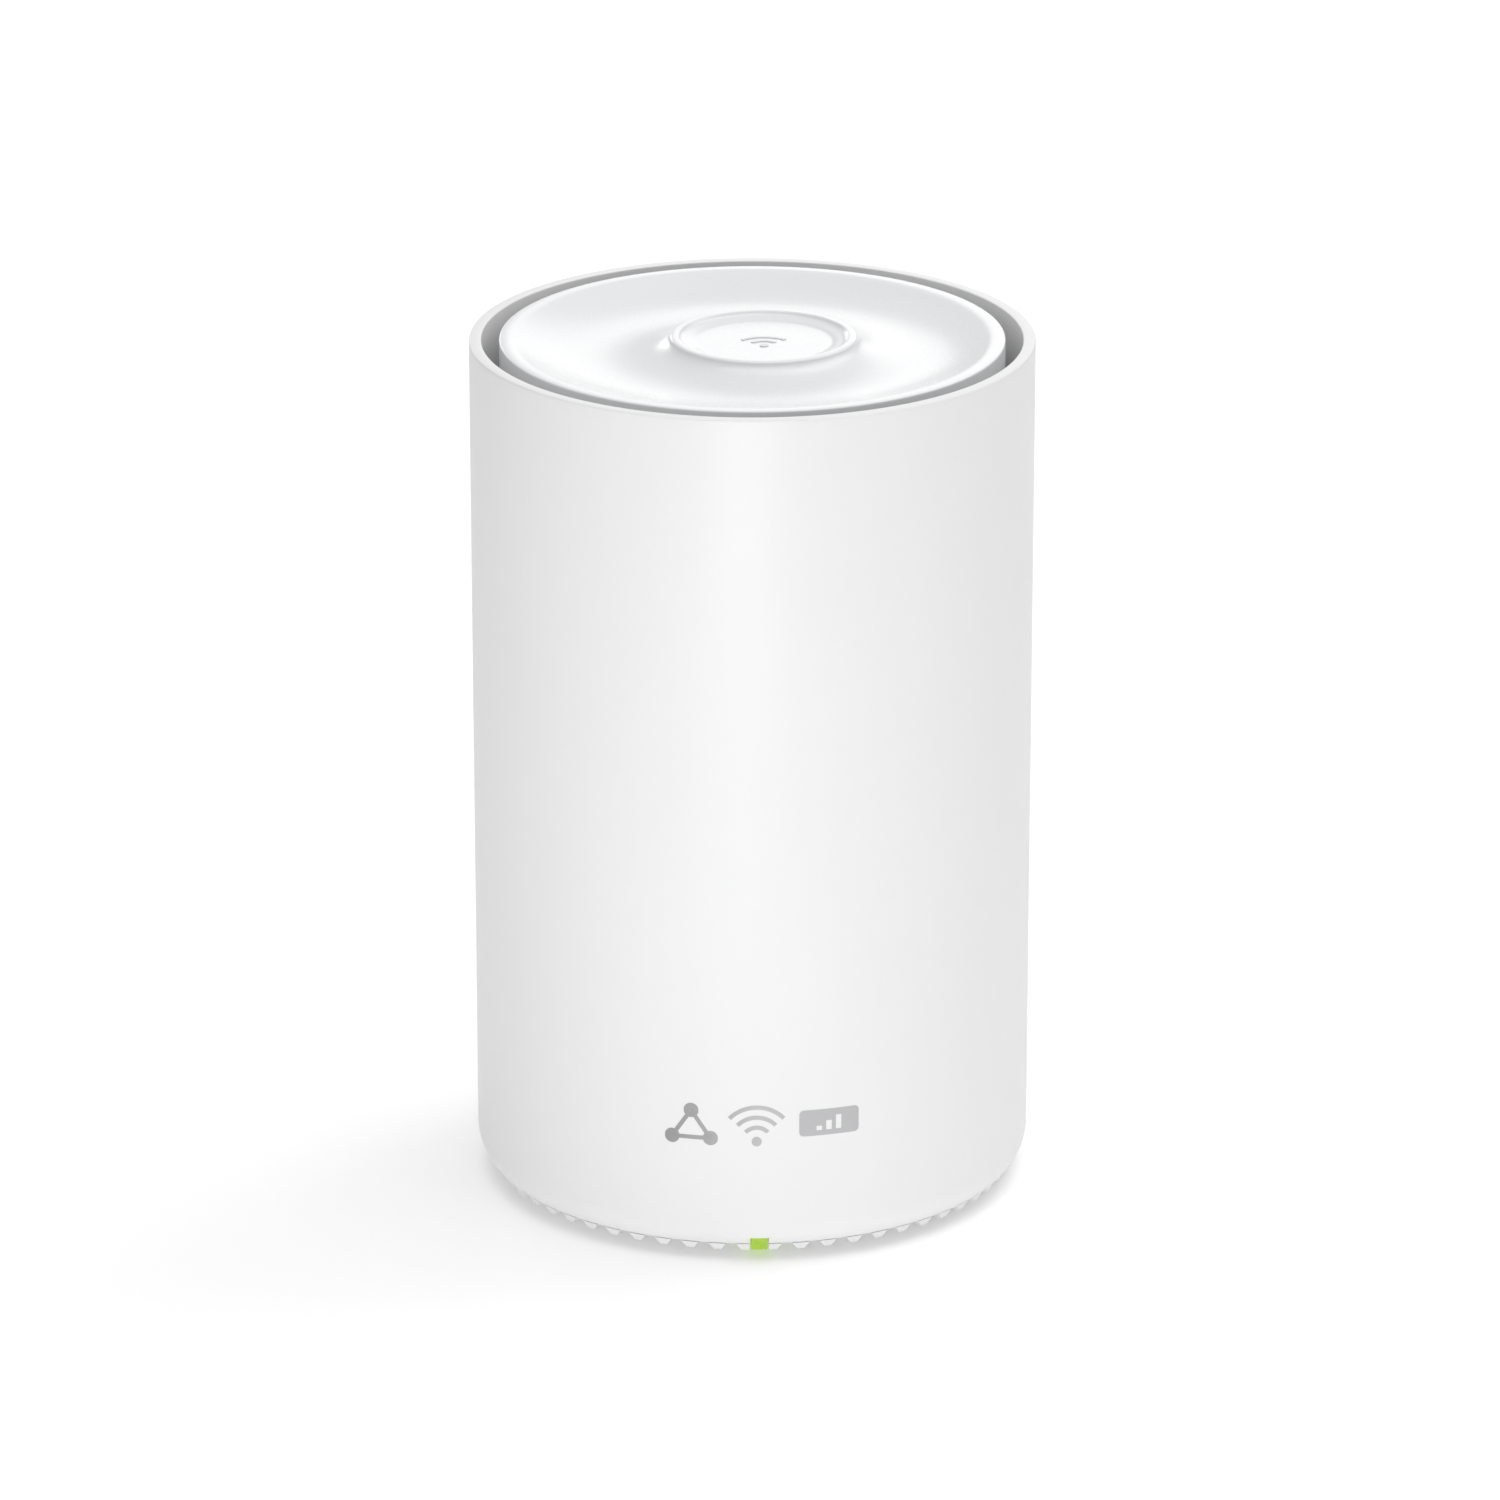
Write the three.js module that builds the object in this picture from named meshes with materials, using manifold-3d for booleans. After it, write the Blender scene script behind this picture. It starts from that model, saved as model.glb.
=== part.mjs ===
// A mesh Wi-Fi node with a built-in 4G modem: a white cylinder standing on rubber feet. Air enters between
// the ribs at its foot and leaves through the ring gap round the dished top cover. The sockets are in a
// pocket at the rear, and the boards, heat sink and aerials stand on a frame inside.
// Millimetres, +Z up. The front faces -Y. The origin is the middle of the surface that the feet stand on.
import * as THREE from "three";
import { mergeVertices } from "three/addons/utils/BufferGeometryUtils.js";
import { ConvexGeometry } from "three/addons/geometries/ConvexGeometry.js";
import Module from "manifold-3d";

const wasm = await Module();
wasm.setup();

// ---- Driving dimensions ----

const GAP = 0.3; // left between pieces that touch
const ROUND = 60; // sides of the large round pieces
const FINE = 16; // sides of screws, sockets and pins
const SLOTS = 60; // air slots round the foot

const SHELL = {
  radius: 55,
  wall: 2.4,
  bottom: 3.3,
  top: 171.8,
  footRound: 8.2,
  footRadius: 52.7,
  rimRound: 0.4,
};
const SHELL_INSIDE = SHELL.radius - SHELL.wall;

const COVER = {
  radius: 49.15,
  lip: 171.8,
  crest: 172.15,
  valley: 168.4,
  wellDepth: 1.35,
  skirtBottom: 157,
  skirtWall: 1.85,
};
const RAISED_RING = { radius: 17.5, offset: 2.2 }; // its middle stands to the right of the axis
const VENT_RING = { inside: 37, bottom: 149, top: 151, slots: 24 };

const BASE = { under: 1.6, plate: 3, ringInside: 48.6, ringOutside: 50.5, ringTop: 16 };
// A rib reaches to lowTip at the plate's underside and to highTip at its top, and widens from lowHalf
// degrees to each side of its middle to highHalf.
const RIB = { root: 46.4, lowTip: 51.9, highTip: 52.4, lowHalf: 0.8, highHalf: 1.9 };
const FOOT = { radius: 6, height: 2.1, recess: 0.8, spread: 25.5 };
const SCREW = { head: 2.7, shank: 1.2, headBottom: 2.7, headTop: 4.3, tip: 11.4 };
const CHASSIS = { bottom: 6.3, top: 8.3, radius: 46.5, rear: 33, boss: 4.2, bossTop: 12.7 };
const RAIL = { inside: 40.5, outside: 45.5, halfDepth: 9, grooveDepth: 2.5 };

const IO_BOARD = { bottom: 13, top: 14.6, radius: 43.5, halfWidth: 39.6 };
const MAIN_BOARD = { halfWidth: 42.6, front: -1.9, rear: -0.3, bottom: 17.6, top: 146 };

const POCKET = { halfWidth: 34, bottom: 11, top: 51, corner: 6, wall: 1.6, back: 34.2, face: 36.2 };
const PORT_FACE = 36; // where the sockets' mouths stand, just behind the pocket's own face
const PORT_FLOOR = IO_BOARD.top + GAP;
const JACK = { width: 16.2, height: 13.6, depth: 16.7, sheet: 0.4, xs: [23.6, 6, -11.6] };
const DC = { x: -27.2, width: 9, height: 11, depth: 14, axisHeight: 5.7, bore: 3.15, pin: 1 };
const SMA = { xs: { left: -22, right: 22 }, z: 42, barrel: 3.15, tip: 46, capRadius: 4.4, capTip: 47.6 };
const SIM = { width: 8.8, length: 12.4, thick: 0.7, z: 40.7, rear: 36.6, corner: 1.6 };
const RESET = { y: 24, radius: 2, bottom: 2, top: 9.9, plungerRadius: 1.6, plungerTop: 11.5 };
const GUIDE = {
  halfWidth: 1.6,
  front: -52.4,
  bottom: 1.8,
  top: 4.6,
  legFront: -42.4,
  legRear: -39.2,
  legTop: 11.2,
};

const COAX_RADIUS = 0.6;

// ---- Materials ----

function finish(color, roughness, metalness = 0) {
  return new THREE.MeshStandardMaterial({ color, roughness, metalness, flatShading: true });
}
const WHITE = finish(0xf2f2f2, 0.45);
const SATIN_WHITE = finish(0xf4f5f7, 0.3);
const GREY_PLASTIC = finish(0x8d9093, 0.6);
const BLACK_PLASTIC = finish(0x1c1d1f, 0.5);
const RUBBER = finish(0x54575a, 0.9);
const LABEL = finish(0xd9dbdd, 0.6);
const GREEN_LENS = finish(0x9fd03c, 0.2);
const BOARD = finish(0x1f5a3a, 0.5);
const STEEL = finish(0xb9bcc0, 0.3, 1);
const ALUMINIUM = finish(0xc4c7ca, 0.35, 1);
const BRASS = finish(0xd2ab55, 0.25, 1);
const THERMAL_PAD = finish(0x8fa5b8, 0.9);
const CABLE = finish(0x2a2b2d, 0.5);
const CARD = finish(0xe6e8ea, 0.4);

// ---- Shape helpers ----

/** A closed geometry as a manifold solid. */
function solid(geometry) {
  const bare = new THREE.BufferGeometry();
  const unindexed = geometry.index ? geometry.toNonIndexed() : geometry;
  bare.setAttribute("position", unindexed.getAttribute("position"));
  const merged = mergeVertices(bare, 1e-4);
  const vertProperties = merged.attributes.position.array;
  const triVerts = new Uint32Array(merged.index.array);
  return new wasm.Manifold(new wasm.Mesh({ numProp: 3, vertProperties, triVerts }));
}

/** A manifold solid as a geometry. */
function geometryOf(made) {
  const mesh = made.getMesh();
  const geometry = new THREE.BufferGeometry();
  geometry.setAttribute("position", new THREE.BufferAttribute(mesh.vertProperties, 3));
  geometry.setIndex(new THREE.BufferAttribute(mesh.triVerts, 1));
  return geometry;
}

const combine = (how, first, rest) =>
  geometryOf(rest.reduce((made, geometry) => made[how](solid(geometry)), solid(first)));
const join = (first, ...rest) => combine("add", first, rest);
const cut = (first, ...rest) => combine("subtract", first, rest);
const overlap = (first, ...rest) => combine("intersect", first, rest);

/** A box between two opposite corners. */
function box([x0, y0, z0], [x1, y1, z1]) {
  const made = new THREE.BoxGeometry(x1 - x0, y1 - y0, z1 - z0);
  return made.translate((x0 + x1) / 2, (y0 + y1) / 2, (z0 + z1) / 2);
}

/** A round bar along Z. */
function rod(radius, bottom, top, x = 0, y = 0, sides = FINE) {
  const made = new THREE.CylinderGeometry(radius, radius, top - bottom, sides).rotateX(Math.PI / 2);
  return made.translate(x, y, (bottom + top) / 2);
}

/** A round bar along Y, with its axis at x and z. */
function bar(radius, front, rear, x, z, sides = FINE) {
  const made = new THREE.CylinderGeometry(radius, radius, rear - front, sides);
  return made.translate(x, (front + rear) / 2, z);
}

/** A profile of [radius, height] points, counter-clockwise, turned round Z. */
function turned(profile, sides = ROUND) {
  const points = profile.map(([radius, height]) => new THREE.Vector2(radius, height));
  return new THREE.LatheGeometry(points, sides).rotateX(Math.PI / 2);
}

/** Points along an arc, as [radius, height] pairs, with angles in degrees. */
function arc(cx, cy, radius, from, to, steps) {
  return Array.from({ length: steps + 1 }, (_, i) => {
    const angle = THREE.MathUtils.degToRad(from + ((to - from) * i) / steps);
    return [cx + radius * Math.cos(angle), cy + radius * Math.sin(angle)];
  });
}

/** A rounded rectangle in the XZ plane, extruded along Y from front to rear. */
function roundedBar(halfWidth, bottom, top, corner, front, rear) {
  const shape = new THREE.Shape();
  const [low, high, side] = [bottom + corner, top - corner, halfWidth - corner];
  shape.absarc(side, low, corner, -Math.PI / 2, 0, false);
  shape.absarc(side, high, corner, 0, Math.PI / 2, false);
  shape.absarc(-side, high, corner, Math.PI / 2, Math.PI, false);
  shape.absarc(-side, low, corner, Math.PI, 1.5 * Math.PI, false);
  const settings = { depth: rear - front, bevelEnabled: false, curveSegments: 4 };
  const made = new THREE.ExtrudeGeometry(shape, settings);
  return made.rotateX(Math.PI / 2).translate(0, rear, 0);
}

/** A wedge of a ring, from one radius to another, whose half angle changes from its bottom to its top. */
function wedge(inside, outside, bottom, top, lowHalf, highHalf, middle) {
  const points = [];
  for (const [height, half] of [[bottom, lowHalf], [top, highHalf]])
    for (const radius of [inside, outside])
      for (const side of [-1, 1]) {
        const angle = THREE.MathUtils.degToRad(middle + side * half);
        points.push(new THREE.Vector3(radius * Math.cos(angle), radius * Math.sin(angle), height));
      }
  return new ConvexGeometry(points);
}

/** A flat outline of [a, b] points in the given plane, extruded evenly to both sides of it. */
function plate(outline, halfThickness) {
  const shape = new THREE.Shape(outline.map(([a, b]) => new THREE.Vector2(a, b)));
  const made = new THREE.ExtrudeGeometry(shape, { depth: 2 * halfThickness, bevelEnabled: false });
  return made.translate(0, 0, -halfThickness);
}

/** A thin round cable through the given points. */
function cable(points, radius = COAX_RADIUS) {
  const path = new THREE.CatmullRomCurve3(points.map((p) => new THREE.Vector3(...p)));
  const section = new THREE.Shape();
  section.absarc(0, 0, radius, 0, 2 * Math.PI, false);
  return new THREE.ExtrudeGeometry(section, { steps: 14, extrudePath: path, curveSegments: 3 });
}

const corners = (spread) => [[1, 1], [-1, 1], [-1, -1], [1, -1]].map(([x, y]) => [x * spread, y * spread]);
const sides = { left: -1, right: 1 };

// ---- The tree of named meshes ----

const node = new THREE.Group();

function add(name, geometry, material, group = node, position = [0, 0, 0]) {
  const mesh = new THREE.Mesh(geometry, material);
  mesh.name = name;
  mesh.position.set(...position);
  group.add(mesh);
  return mesh;
}

function newGroup(x = 0, y = 0, z = 0) {
  const group = new THREE.Group();
  group.position.set(x, y, z);
  node.add(group);
  return group;
}

// ---- Housing ----

/** The sleeve: a tube turned in at its foot, with a window for the pocket and a notch for the light. */
function outerShell() {
  const roundReach = SHELL.footRound - SHELL.radius + SHELL.footRadius;
  const roundHeight = Math.sqrt(SHELL.footRound ** 2 - roundReach ** 2);
  const [cx, cz] = [SHELL.radius - SHELL.footRound, SHELL.bottom + roundHeight];
  const lowAngle = -THREE.MathUtils.radToDeg(Math.asin(roundHeight / SHELL.footRound));
  const innerRound = SHELL.footRound - SHELL.wall;
  const inner = arc(cx, cz, innerRound, 0, lowAngle, 2);
  const lip = [inner[2][0], SHELL.bottom];
  const tube = turned([
    lip,
    ...arc(cx, cz, SHELL.footRound, lowAngle, 0, 4),
    ...arc(SHELL.radius - SHELL.rimRound, SHELL.top - SHELL.rimRound, SHELL.rimRound, 0, 90, 2),
    [SHELL_INSIDE + GAP, SHELL.top],
    [SHELL_INSIDE, SHELL.top - GAP],
    ...inner,
    lip,
  ]);
  const { halfWidth, bottom, top, corner, back } = POCKET;
  const window = roundedBar(halfWidth, bottom, top, corner, back, SHELL.radius + 1);
  const notchHalf = GUIDE.halfWidth + GAP;
  const notch = box([-notchHalf, -SHELL.radius - 1, 0], [notchHalf, -BASE.ringInside, GUIDE.top + GAP]);
  return cut(tube, window, notch);
}

/** Moves the middle of a turned dish to the right, and leaves its rim where it is. */
function shiftMiddle(geometry, rimRadius) {
  const position = geometry.attributes.position;
  for (let i = 0; i < position.count; i++) {
    const radius = Math.hypot(position.getX(i), position.getY(i));
    const share = THREE.MathUtils.smoothstep(rimRadius - radius, 0, rimRadius - RAISED_RING.radius);
    position.setX(i, position.getX(i) + share * RAISED_RING.offset);
  }
  return geometry;
}

/** The dished cap: a flat lip, a valley, and a raised ring round a shallow well, on a deep skirt. */
function topCover() {
  const { radius, lip, crest, valley, wellDepth, skirtBottom, skirtWall } = COVER;
  const ring = RAISED_RING.radius;
  const [inside, thick] = [radius - skirtWall, 1.9];
  const under = [
    [0, crest - 3.4],
    [ring + 2, crest - 3.4],
    [33, valley - thick],
    [inside, lip - 3.4],
    [inside, skirtBottom],
  ];
  const top = [
    [radius, skirtBottom],
    [radius, lip - 0.35],
    [radius - 0.35, lip],
    [radius - 1.8, lip],
    [radius - 3.4, lip - 0.5],
    [41, valley + 0.9],
    [33, valley],
    [26, valley + 0.5],
    [21.5, valley + 1.6],
    [ring + 0.7, crest - 0.5],
    [ring + 0.3, crest],
    [ring - 0.8, crest],
    [13.6, crest - wellDepth + 0.05],
    [0, crest - wellDepth],
  ];
  const dish = shiftMiddle(turned([...under, ...top]), radius - 2);
  const posts = corners(42 * Math.SQRT1_2).flatMap(([x, y]) => [
    rod(3, VENT_RING.top + GAP, valley - 0.4, x, y, 12),
    rod(1.3, VENT_RING.bottom + GAP, VENT_RING.top + 1, x, y, 12),
  ]);
  return join(dish, ...posts);
}

/** A plain ring with a square section, as a profile to turn. */
function squareRing(inside, outside, bottom, top) {
  return [[inside, bottom], [outside, bottom], [outside, top], [inside, top], [inside, bottom]];
}

/** The slotted ring that steadies the shell and carries the top cover. */
function ventRing() {
  const outside = SHELL_INSIDE - GAP;
  const { inside, bottom, top, slots } = VENT_RING;
  const ring = turned(squareRing(inside, outside, bottom, top));
  const openings = Array.from({ length: slots }, (_, i) =>
    wedge(46, outside - 1.2, bottom - 1, top + 1, 3.4, 3.4, (i * 360) / slots),
  );
  const pinHoles = corners(42 * Math.SQRT1_2).map(([x, y]) => rod(1.7, bottom - 1, top + 1, x, y, 12));
  return cut(ring, ...openings, ...pinHoles);
}

/** The bottom plate: a disc with ribs all round it, and an air slot between every two. */
function ribbedPlate() {
  const { under, plate: top } = BASE;
  const disc = rod(RIB.root, under, top, 0, 0, ROUND);
  const ribs = Array.from({ length: SLOTS }, (_, i) => {
    const middle = ((i + 0.5) * 360) / SLOTS;
    return wedge(RIB.root - 1, RIB.highTip + 1, under, top, RIB.lowHalf, RIB.highHalf, middle);
  });
  const slope = turned([[0, under], [RIB.lowTip, under], [RIB.highTip, top], [0, top]]);
  return overlap(join(disc, ...ribs), slope);
}

/** The bottom: the ribbed plate, the bosses for the feet, and the ring that the shell slides over. */
function baseTray() {
  const { under, plate: plateTop, ringInside, ringOutside, ringTop } = BASE;
  const ring = turned(squareRing(ringInside, ringOutside, plateTop - 0.4, ringTop));
  const bosses = corners(FOOT.spread).map(([x, y]) =>
    rod(FOOT.radius + 1.5, (under + plateTop) / 2, CHASSIS.bottom - GAP, x, y),
  );
  const hollows = corners(FOOT.spread).flatMap(([x, y]) => [
    rod(FOOT.radius + GAP, 0, under + FOOT.recess, x, y),
    rod(SCREW.head + GAP, 0, SCREW.headTop + GAP, x, y, 12),
    rod(SCREW.shank + GAP, 0, CHASSIS.bottom, x, y, 12),
  ]);
  const channelHalf = GUIDE.halfWidth + GAP;
  const lightChannel = box([-channelHalf, -53, 0], [channelHalf, GUIDE.legRear + GAP, GUIDE.top + GAP]);
  const labelRecess = box([-25.5, -13.5, 0], [25.5, 13.5, under + 0.6]);
  const resetHole = rod(RESET.radius + GAP, 0, plateTop + 1, 0, RESET.y);
  const pocketRoom = box([-36, 25, POCKET.bottom - POCKET.wall - GAP], [36, 55, ringTop + 1]);
  const whole = join(ribbedPlate(), ring, ...bosses);
  return cut(whole, ...hollows, lightChannel, labelRecess, resetHole, pocketRoom);
}

/** The pocket for the sockets: a flat back with an opening for each, and walls out to the shell. */
function portPanel() {
  const { halfWidth, bottom, top, corner, wall, back, face } = POCKET;
  const far = SHELL.radius;
  const outside = roundedBar(halfWidth + wall, bottom - wall, top + wall, corner + wall, back, far);
  const inside = roundedBar(halfWidth, bottom, top, corner, face, far + 1);
  const limit = rod(SHELL_INSIDE - GAP, 0, SHELL.top, 0, 0, ROUND);
  const socketHole = (x, width, height) =>
    box(
      [x - width / 2 - GAP, back - 1, PORT_FLOOR - GAP],
      [x + width / 2 + GAP, far, PORT_FLOOR + height + GAP],
    );
  const jackHoles = JACK.xs.map((x) => socketHole(x, JACK.width, JACK.height));
  const dcHole = socketHole(DC.x, DC.width, DC.height);
  const smaHoles = Object.values(SMA.xs).map((x) => bar(SMA.barrel + GAP, back - 1, face + 1, x, SMA.z));
  const slotHalf = SIM.width / 2 + 0.5;
  const simSlot = box([-slotHalf, back - 1, SIM.z - 0.8], [slotHalf, face + 1, SIM.z + 0.8]);
  return cut(overlap(outside, limit), inside, ...jackHoles, dcHole, ...smaHoles, simSlot);
}

/** The light guide: a window in the foot, a bar inwards and a leg up to the lamp. */
function lightGuide() {
  const { halfWidth, front, bottom, top, legFront, legRear, legTop } = GUIDE;
  const outline = [
    [front, bottom],
    [legRear, bottom],
    [legRear, legTop],
    [legFront, legTop],
    [legFront, top],
    [front, top],
  ];
  // The outline is drawn in X and Y, and stood up so that X becomes Y and Y becomes Z.
  return plate(outline, halfWidth).rotateX(Math.PI / 2).rotateZ(Math.PI / 2);
}

function rubberFoot() {
  const { radius, height } = FOOT;
  const chamfer = 0.4;
  return turned([[0, 0], [radius - chamfer, 0], [radius, chamfer], [radius, height], [0, height]], FINE);
}

function baseScrew() {
  const { head, shank, headBottom, headTop, tip } = SCREW;
  const blank = turned(
    [[0, headBottom], [head, headBottom], [head, headTop], [shank, headTop], [shank, tip - 1], [0, tip]],
    12,
  );
  const recess = [[1.5, 0.35], [0.35, 1.5]].map(([a, b]) =>
    box([-a, -b, headBottom - 1], [a, b, headBottom + 0.9]),
  );
  return cut(blank, ...recess);
}

function addHousing() {
  add("outer_shell", outerShell(), WHITE);
  add("top_cover", topCover(), SATIN_WHITE);
  add("top_vent_ring", ventRing(), WHITE);
  add("base_tray", baseTray(), WHITE);
  add("port_panel", portPanel(), WHITE);
  add("light_guide", lightGuide(), GREEN_LENS);
  add("label_plate", box([-25, -13, BASE.under + 0.05], [25, 13, BASE.under + 0.3]), LABEL);
  corners(FOOT.spread).forEach(([x, y], i) => {
    add(`rubber_foot_${i + 1}`, rubberFoot(), RUBBER, node, [x, y, 0]);
    add(`base_screw_${i + 1}`, baseScrew(), STEEL, node, [x, y, 0]);
  });
}

// ---- Frame ----

/** The frame's floor: bosses for the base screws, air holes, and room for the light guide and button. */
function chassisPlate() {
  const { bottom, top, radius, rear, boss, bossTop } = CHASSIS;
  const disc = rod(radius, bottom, top, 0, 0, ROUND);
  const bosses = corners(FOOT.spread).map(([x, y]) => rod(boss, bottom, bossTop, x, y, 12));
  const threads = corners(FOOT.spread).map(([x, y]) =>
    rod(SCREW.shank + GAP, bottom - 1, bossTop - 0.7, x, y, 12),
  );
  const airHoles = Array.from({ length: 6 }, (_, i) => (i * Math.PI) / 3).map((angle) =>
    rod(5.5, bottom - 1, top + 1, 14 * Math.cos(angle), 14 * Math.sin(angle) - 6, 12),
  );
  const beyond = box([-60, rear, 0], [60, 60, bossTop + 1]);
  const half = GUIDE.halfWidth + GAP;
  const guideHole = box([-half, GUIDE.legFront - GAP, 0], [half, GUIDE.legRear + GAP, top + 1]);
  const resetHole = rod(RESET.radius + GAP, bottom - 1, top + 1, 0, RESET.y);
  return cut(join(disc, ...bosses), ...threads, ...airHoles, beyond, guideHole, resetHole);
}

/** One upright, with a groove that holds the main board's edge. */
function rail(side) {
  const { inside, outside, halfDepth, grooveDepth } = RAIL;
  const [low, high] = [CHASSIS.top + GAP, VENT_RING.bottom - GAP];
  const [a, b] = side < 0 ? [-outside, -inside] : [inside, outside];
  const groove = side < 0 ? [-inside - grooveDepth, -inside + 1] : [inside - 1, inside + grooveDepth];
  const { front, rear, bottom } = MAIN_BOARD;
  return cut(
    box([a, -halfDepth, low], [b, halfDepth, high]),
    box([groove[0], front - GAP, bottom - GAP], [groove[1], rear + GAP, high + 1]),
  );
}

function addFrame() {
  add("chassis_plate", chassisPlate(), GREY_PLASTIC);
  for (const [name, side] of Object.entries(sides)) add(`chassis_rail_${name}`, rail(side), GREY_PLASTIC);
}

// ---- Sockets and controls ----

/** The sheet-metal can of a network socket, open below and at its mouth. */
function jackShield() {
  const { width, height, depth, sheet } = JACK;
  const half = width / 2;
  const can = box([-half, -depth, 0], [half, 0, height]);
  const inside = box([sheet - half, sheet - depth, -1], [half - sheet, -sheet, height - sheet]);
  const mouth = box([-6.1, -1, 1.4], [6.1, 1, 11.4]);
  return cut(can, inside, mouth);
}

/** The moulded insert of a network socket: a stepped hole for the plug and its latch. */
function jackInsert() {
  const inset = JACK.sheet + GAP;
  const [half, front, back] = [JACK.width / 2 - inset, -inset, inset - JACK.depth];
  const plugDeep = -13.2;
  return cut(
    box([-half, back, 0.1], [half, front, JACK.height - inset]),
    box([-5.9, plugDeep, 3.7], [5.9, 1, 10.9]),
    box([-3.1, plugDeep + 2, 2.2], [3.1, 1, 4]),
    box([-1.6, plugDeep + 2, 1.6], [1.6, 1, 3]),
  );
}

function addSockets() {
  JACK.xs.forEach((x, i) => {
    const socket = newGroup(x, PORT_FACE, PORT_FLOOR);
    add(`rj45_shield_${i + 1}`, jackShield(), STEEL, socket);
    add(`rj45_insert_${i + 1}`, jackInsert(), BLACK_PLASTIC, socket);
  });
  const power = newGroup(DC.x, PORT_FACE, PORT_FLOOR);
  const boreDepth = 10;
  const body = box([-DC.width / 2, -DC.depth, 0], [DC.width / 2, 0, DC.height]);
  const bore = bar(DC.bore, -boreDepth, 1, 0, DC.axisHeight);
  const pinHole = bar(DC.pin + GAP, 0.6 - DC.depth, 1 - boreDepth, 0, DC.axisHeight, 12);
  add("dc_jack_body", cut(body, bore, pinHole), BLACK_PLASTIC, power);
  add("dc_jack_pin", bar(DC.pin, 0.9 - DC.depth, -1.4, 0, DC.axisHeight, 12), STEEL, power);
}

/** Screw sockets for outside aerials, each with its nut and a push-on cap. */
function addAerialSockets() {
  const { barrel, tip, capRadius, capTip } = SMA;
  const inside = POCKET.back - GAP;
  const nutFront = POCKET.face + GAP;
  const nutRear = nutFront + 2.2;
  const contactDepth = 4;
  for (const [name, x] of Object.entries(SMA.xs)) {
    const socket = newGroup(x, 0, SMA.z);
    // Turned round Z as if it pointed up, then tipped so that it points to the rear.
    const upright = (profile, count = FINE) => turned(profile, count).rotateX(-Math.PI / 2);
    const jack = upright([
      [0, 27.7],
      [2, 27.7],
      [2, inside - 2.4],
      [4.2, inside - 2.4],
      [4.2, inside],
      [barrel, inside],
      [barrel, tip - 0.5],
      [barrel - 0.4, tip],
      [2.3, tip],
      [2.3, tip - contactDepth],
      [0, tip - contactDepth],
    ]);
    const bore = barrel + GAP;
    const nut = cut(bar(4.62, nutFront, nutRear, 0, 0, 6), bar(bore, nutFront - 1, nutRear + 1, 0, 0));
    const cap = upright([
      [bore, nutRear + GAP],
      [capRadius, nutRear + GAP],
      [capRadius, capTip - 0.8],
      [capRadius - 0.8, capTip],
      [0, capTip],
      [0, tip + 0.4],
      [bore, tip + 0.4],
      [bore, nutRear + GAP],
    ]);
    add(`sma_jack_${name}`, jack, BRASS, socket);
    add(`sma_nut_${name}`, nut, BRASS, socket);
    add(`sma_cap_${name}`, cap, BLACK_PLASTIC, socket);
  }
}

/** The card, with its cut corner, lying flat. */
function simCard() {
  const [half, front] = [SIM.width / 2, SIM.rear - SIM.length];
  const outline = [
    [-half, front],
    [half - SIM.corner, front],
    [half, front + SIM.corner],
    [half, SIM.rear],
    [-half, SIM.rear],
  ];
  return plate(outline, SIM.thick / 2);
}

function addSim() {
  const group = newGroup(0, 0, SIM.z);
  const [half, front, rear] = [6.9, 21.6, POCKET.back - GAP];
  const socket = box([-half, front, -1], [half, rear, 1]);
  const slot = box([-SIM.width / 2 - 0.2, front + 1, -0.5], [SIM.width / 2 + 0.2, rear + 1, 0.5]);
  add("sim_board", box([-13, MAIN_BOARD.rear + 0.5, -2.3], [13, rear, -1.3]), BOARD, group);
  add("sim_socket", cut(socket, slot), STEEL, group);
  add("sim_card", simCard(), CARD, group);
}

/** The reset button under the foot, and the switch that it presses. */
function addReset() {
  const { y, radius, bottom, top, plungerRadius, plungerTop } = RESET;
  const group = newGroup(0, y, 0);
  const flangeBottom = BASE.plate + GAP;
  const [flange, flangeTop, stem] = [3.2, 4.9, 1.7];
  const profile = [
    [0, bottom],
    [radius, bottom],
    [radius, flangeBottom],
    [flange, flangeBottom],
    [flange, flangeTop],
    [stem, flangeTop],
    [stem, top],
    [0, top],
  ];
  const [switchBottom, switchTop] = [11, IO_BOARD.bottom - GAP];
  const body = cut(
    box([-3, -3, switchBottom], [3, 3, switchTop]),
    rod(plungerRadius + GAP, switchBottom - 1, switchTop - 0.3, 0, 0, 16),
  );
  add("reset_button", turned(profile, FINE), GREY_PLASTIC, group);
  add("reset_plunger", rod(plungerRadius, top + GAP, plungerTop, 0, 0, 16), BLACK_PLASTIC, group);
  add("reset_switch", body, STEEL, group);
}

function addControls() {
  addSim();
  addReset();
  const lampY = (GUIDE.legFront + GUIDE.legRear) / 2;
  const lamp = box([-1.5, lampY - 1.5, GUIDE.legTop + GAP], [1.5, lampY + 1.5, IO_BOARD.bottom - GAP]);
  add("status_led", lamp, CARD);
}

// ---- Boards and cooling ----

function ioBoard() {
  const { bottom, top, radius, halfWidth } = IO_BOARD;
  const disc = rod(radius, bottom, top, 0, 0, 48);
  const limit = box([-halfWidth, -radius - 1, bottom - 1], [halfWidth, POCKET.back - GAP, top + 1]);
  return overlap(disc, limit);
}

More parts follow.
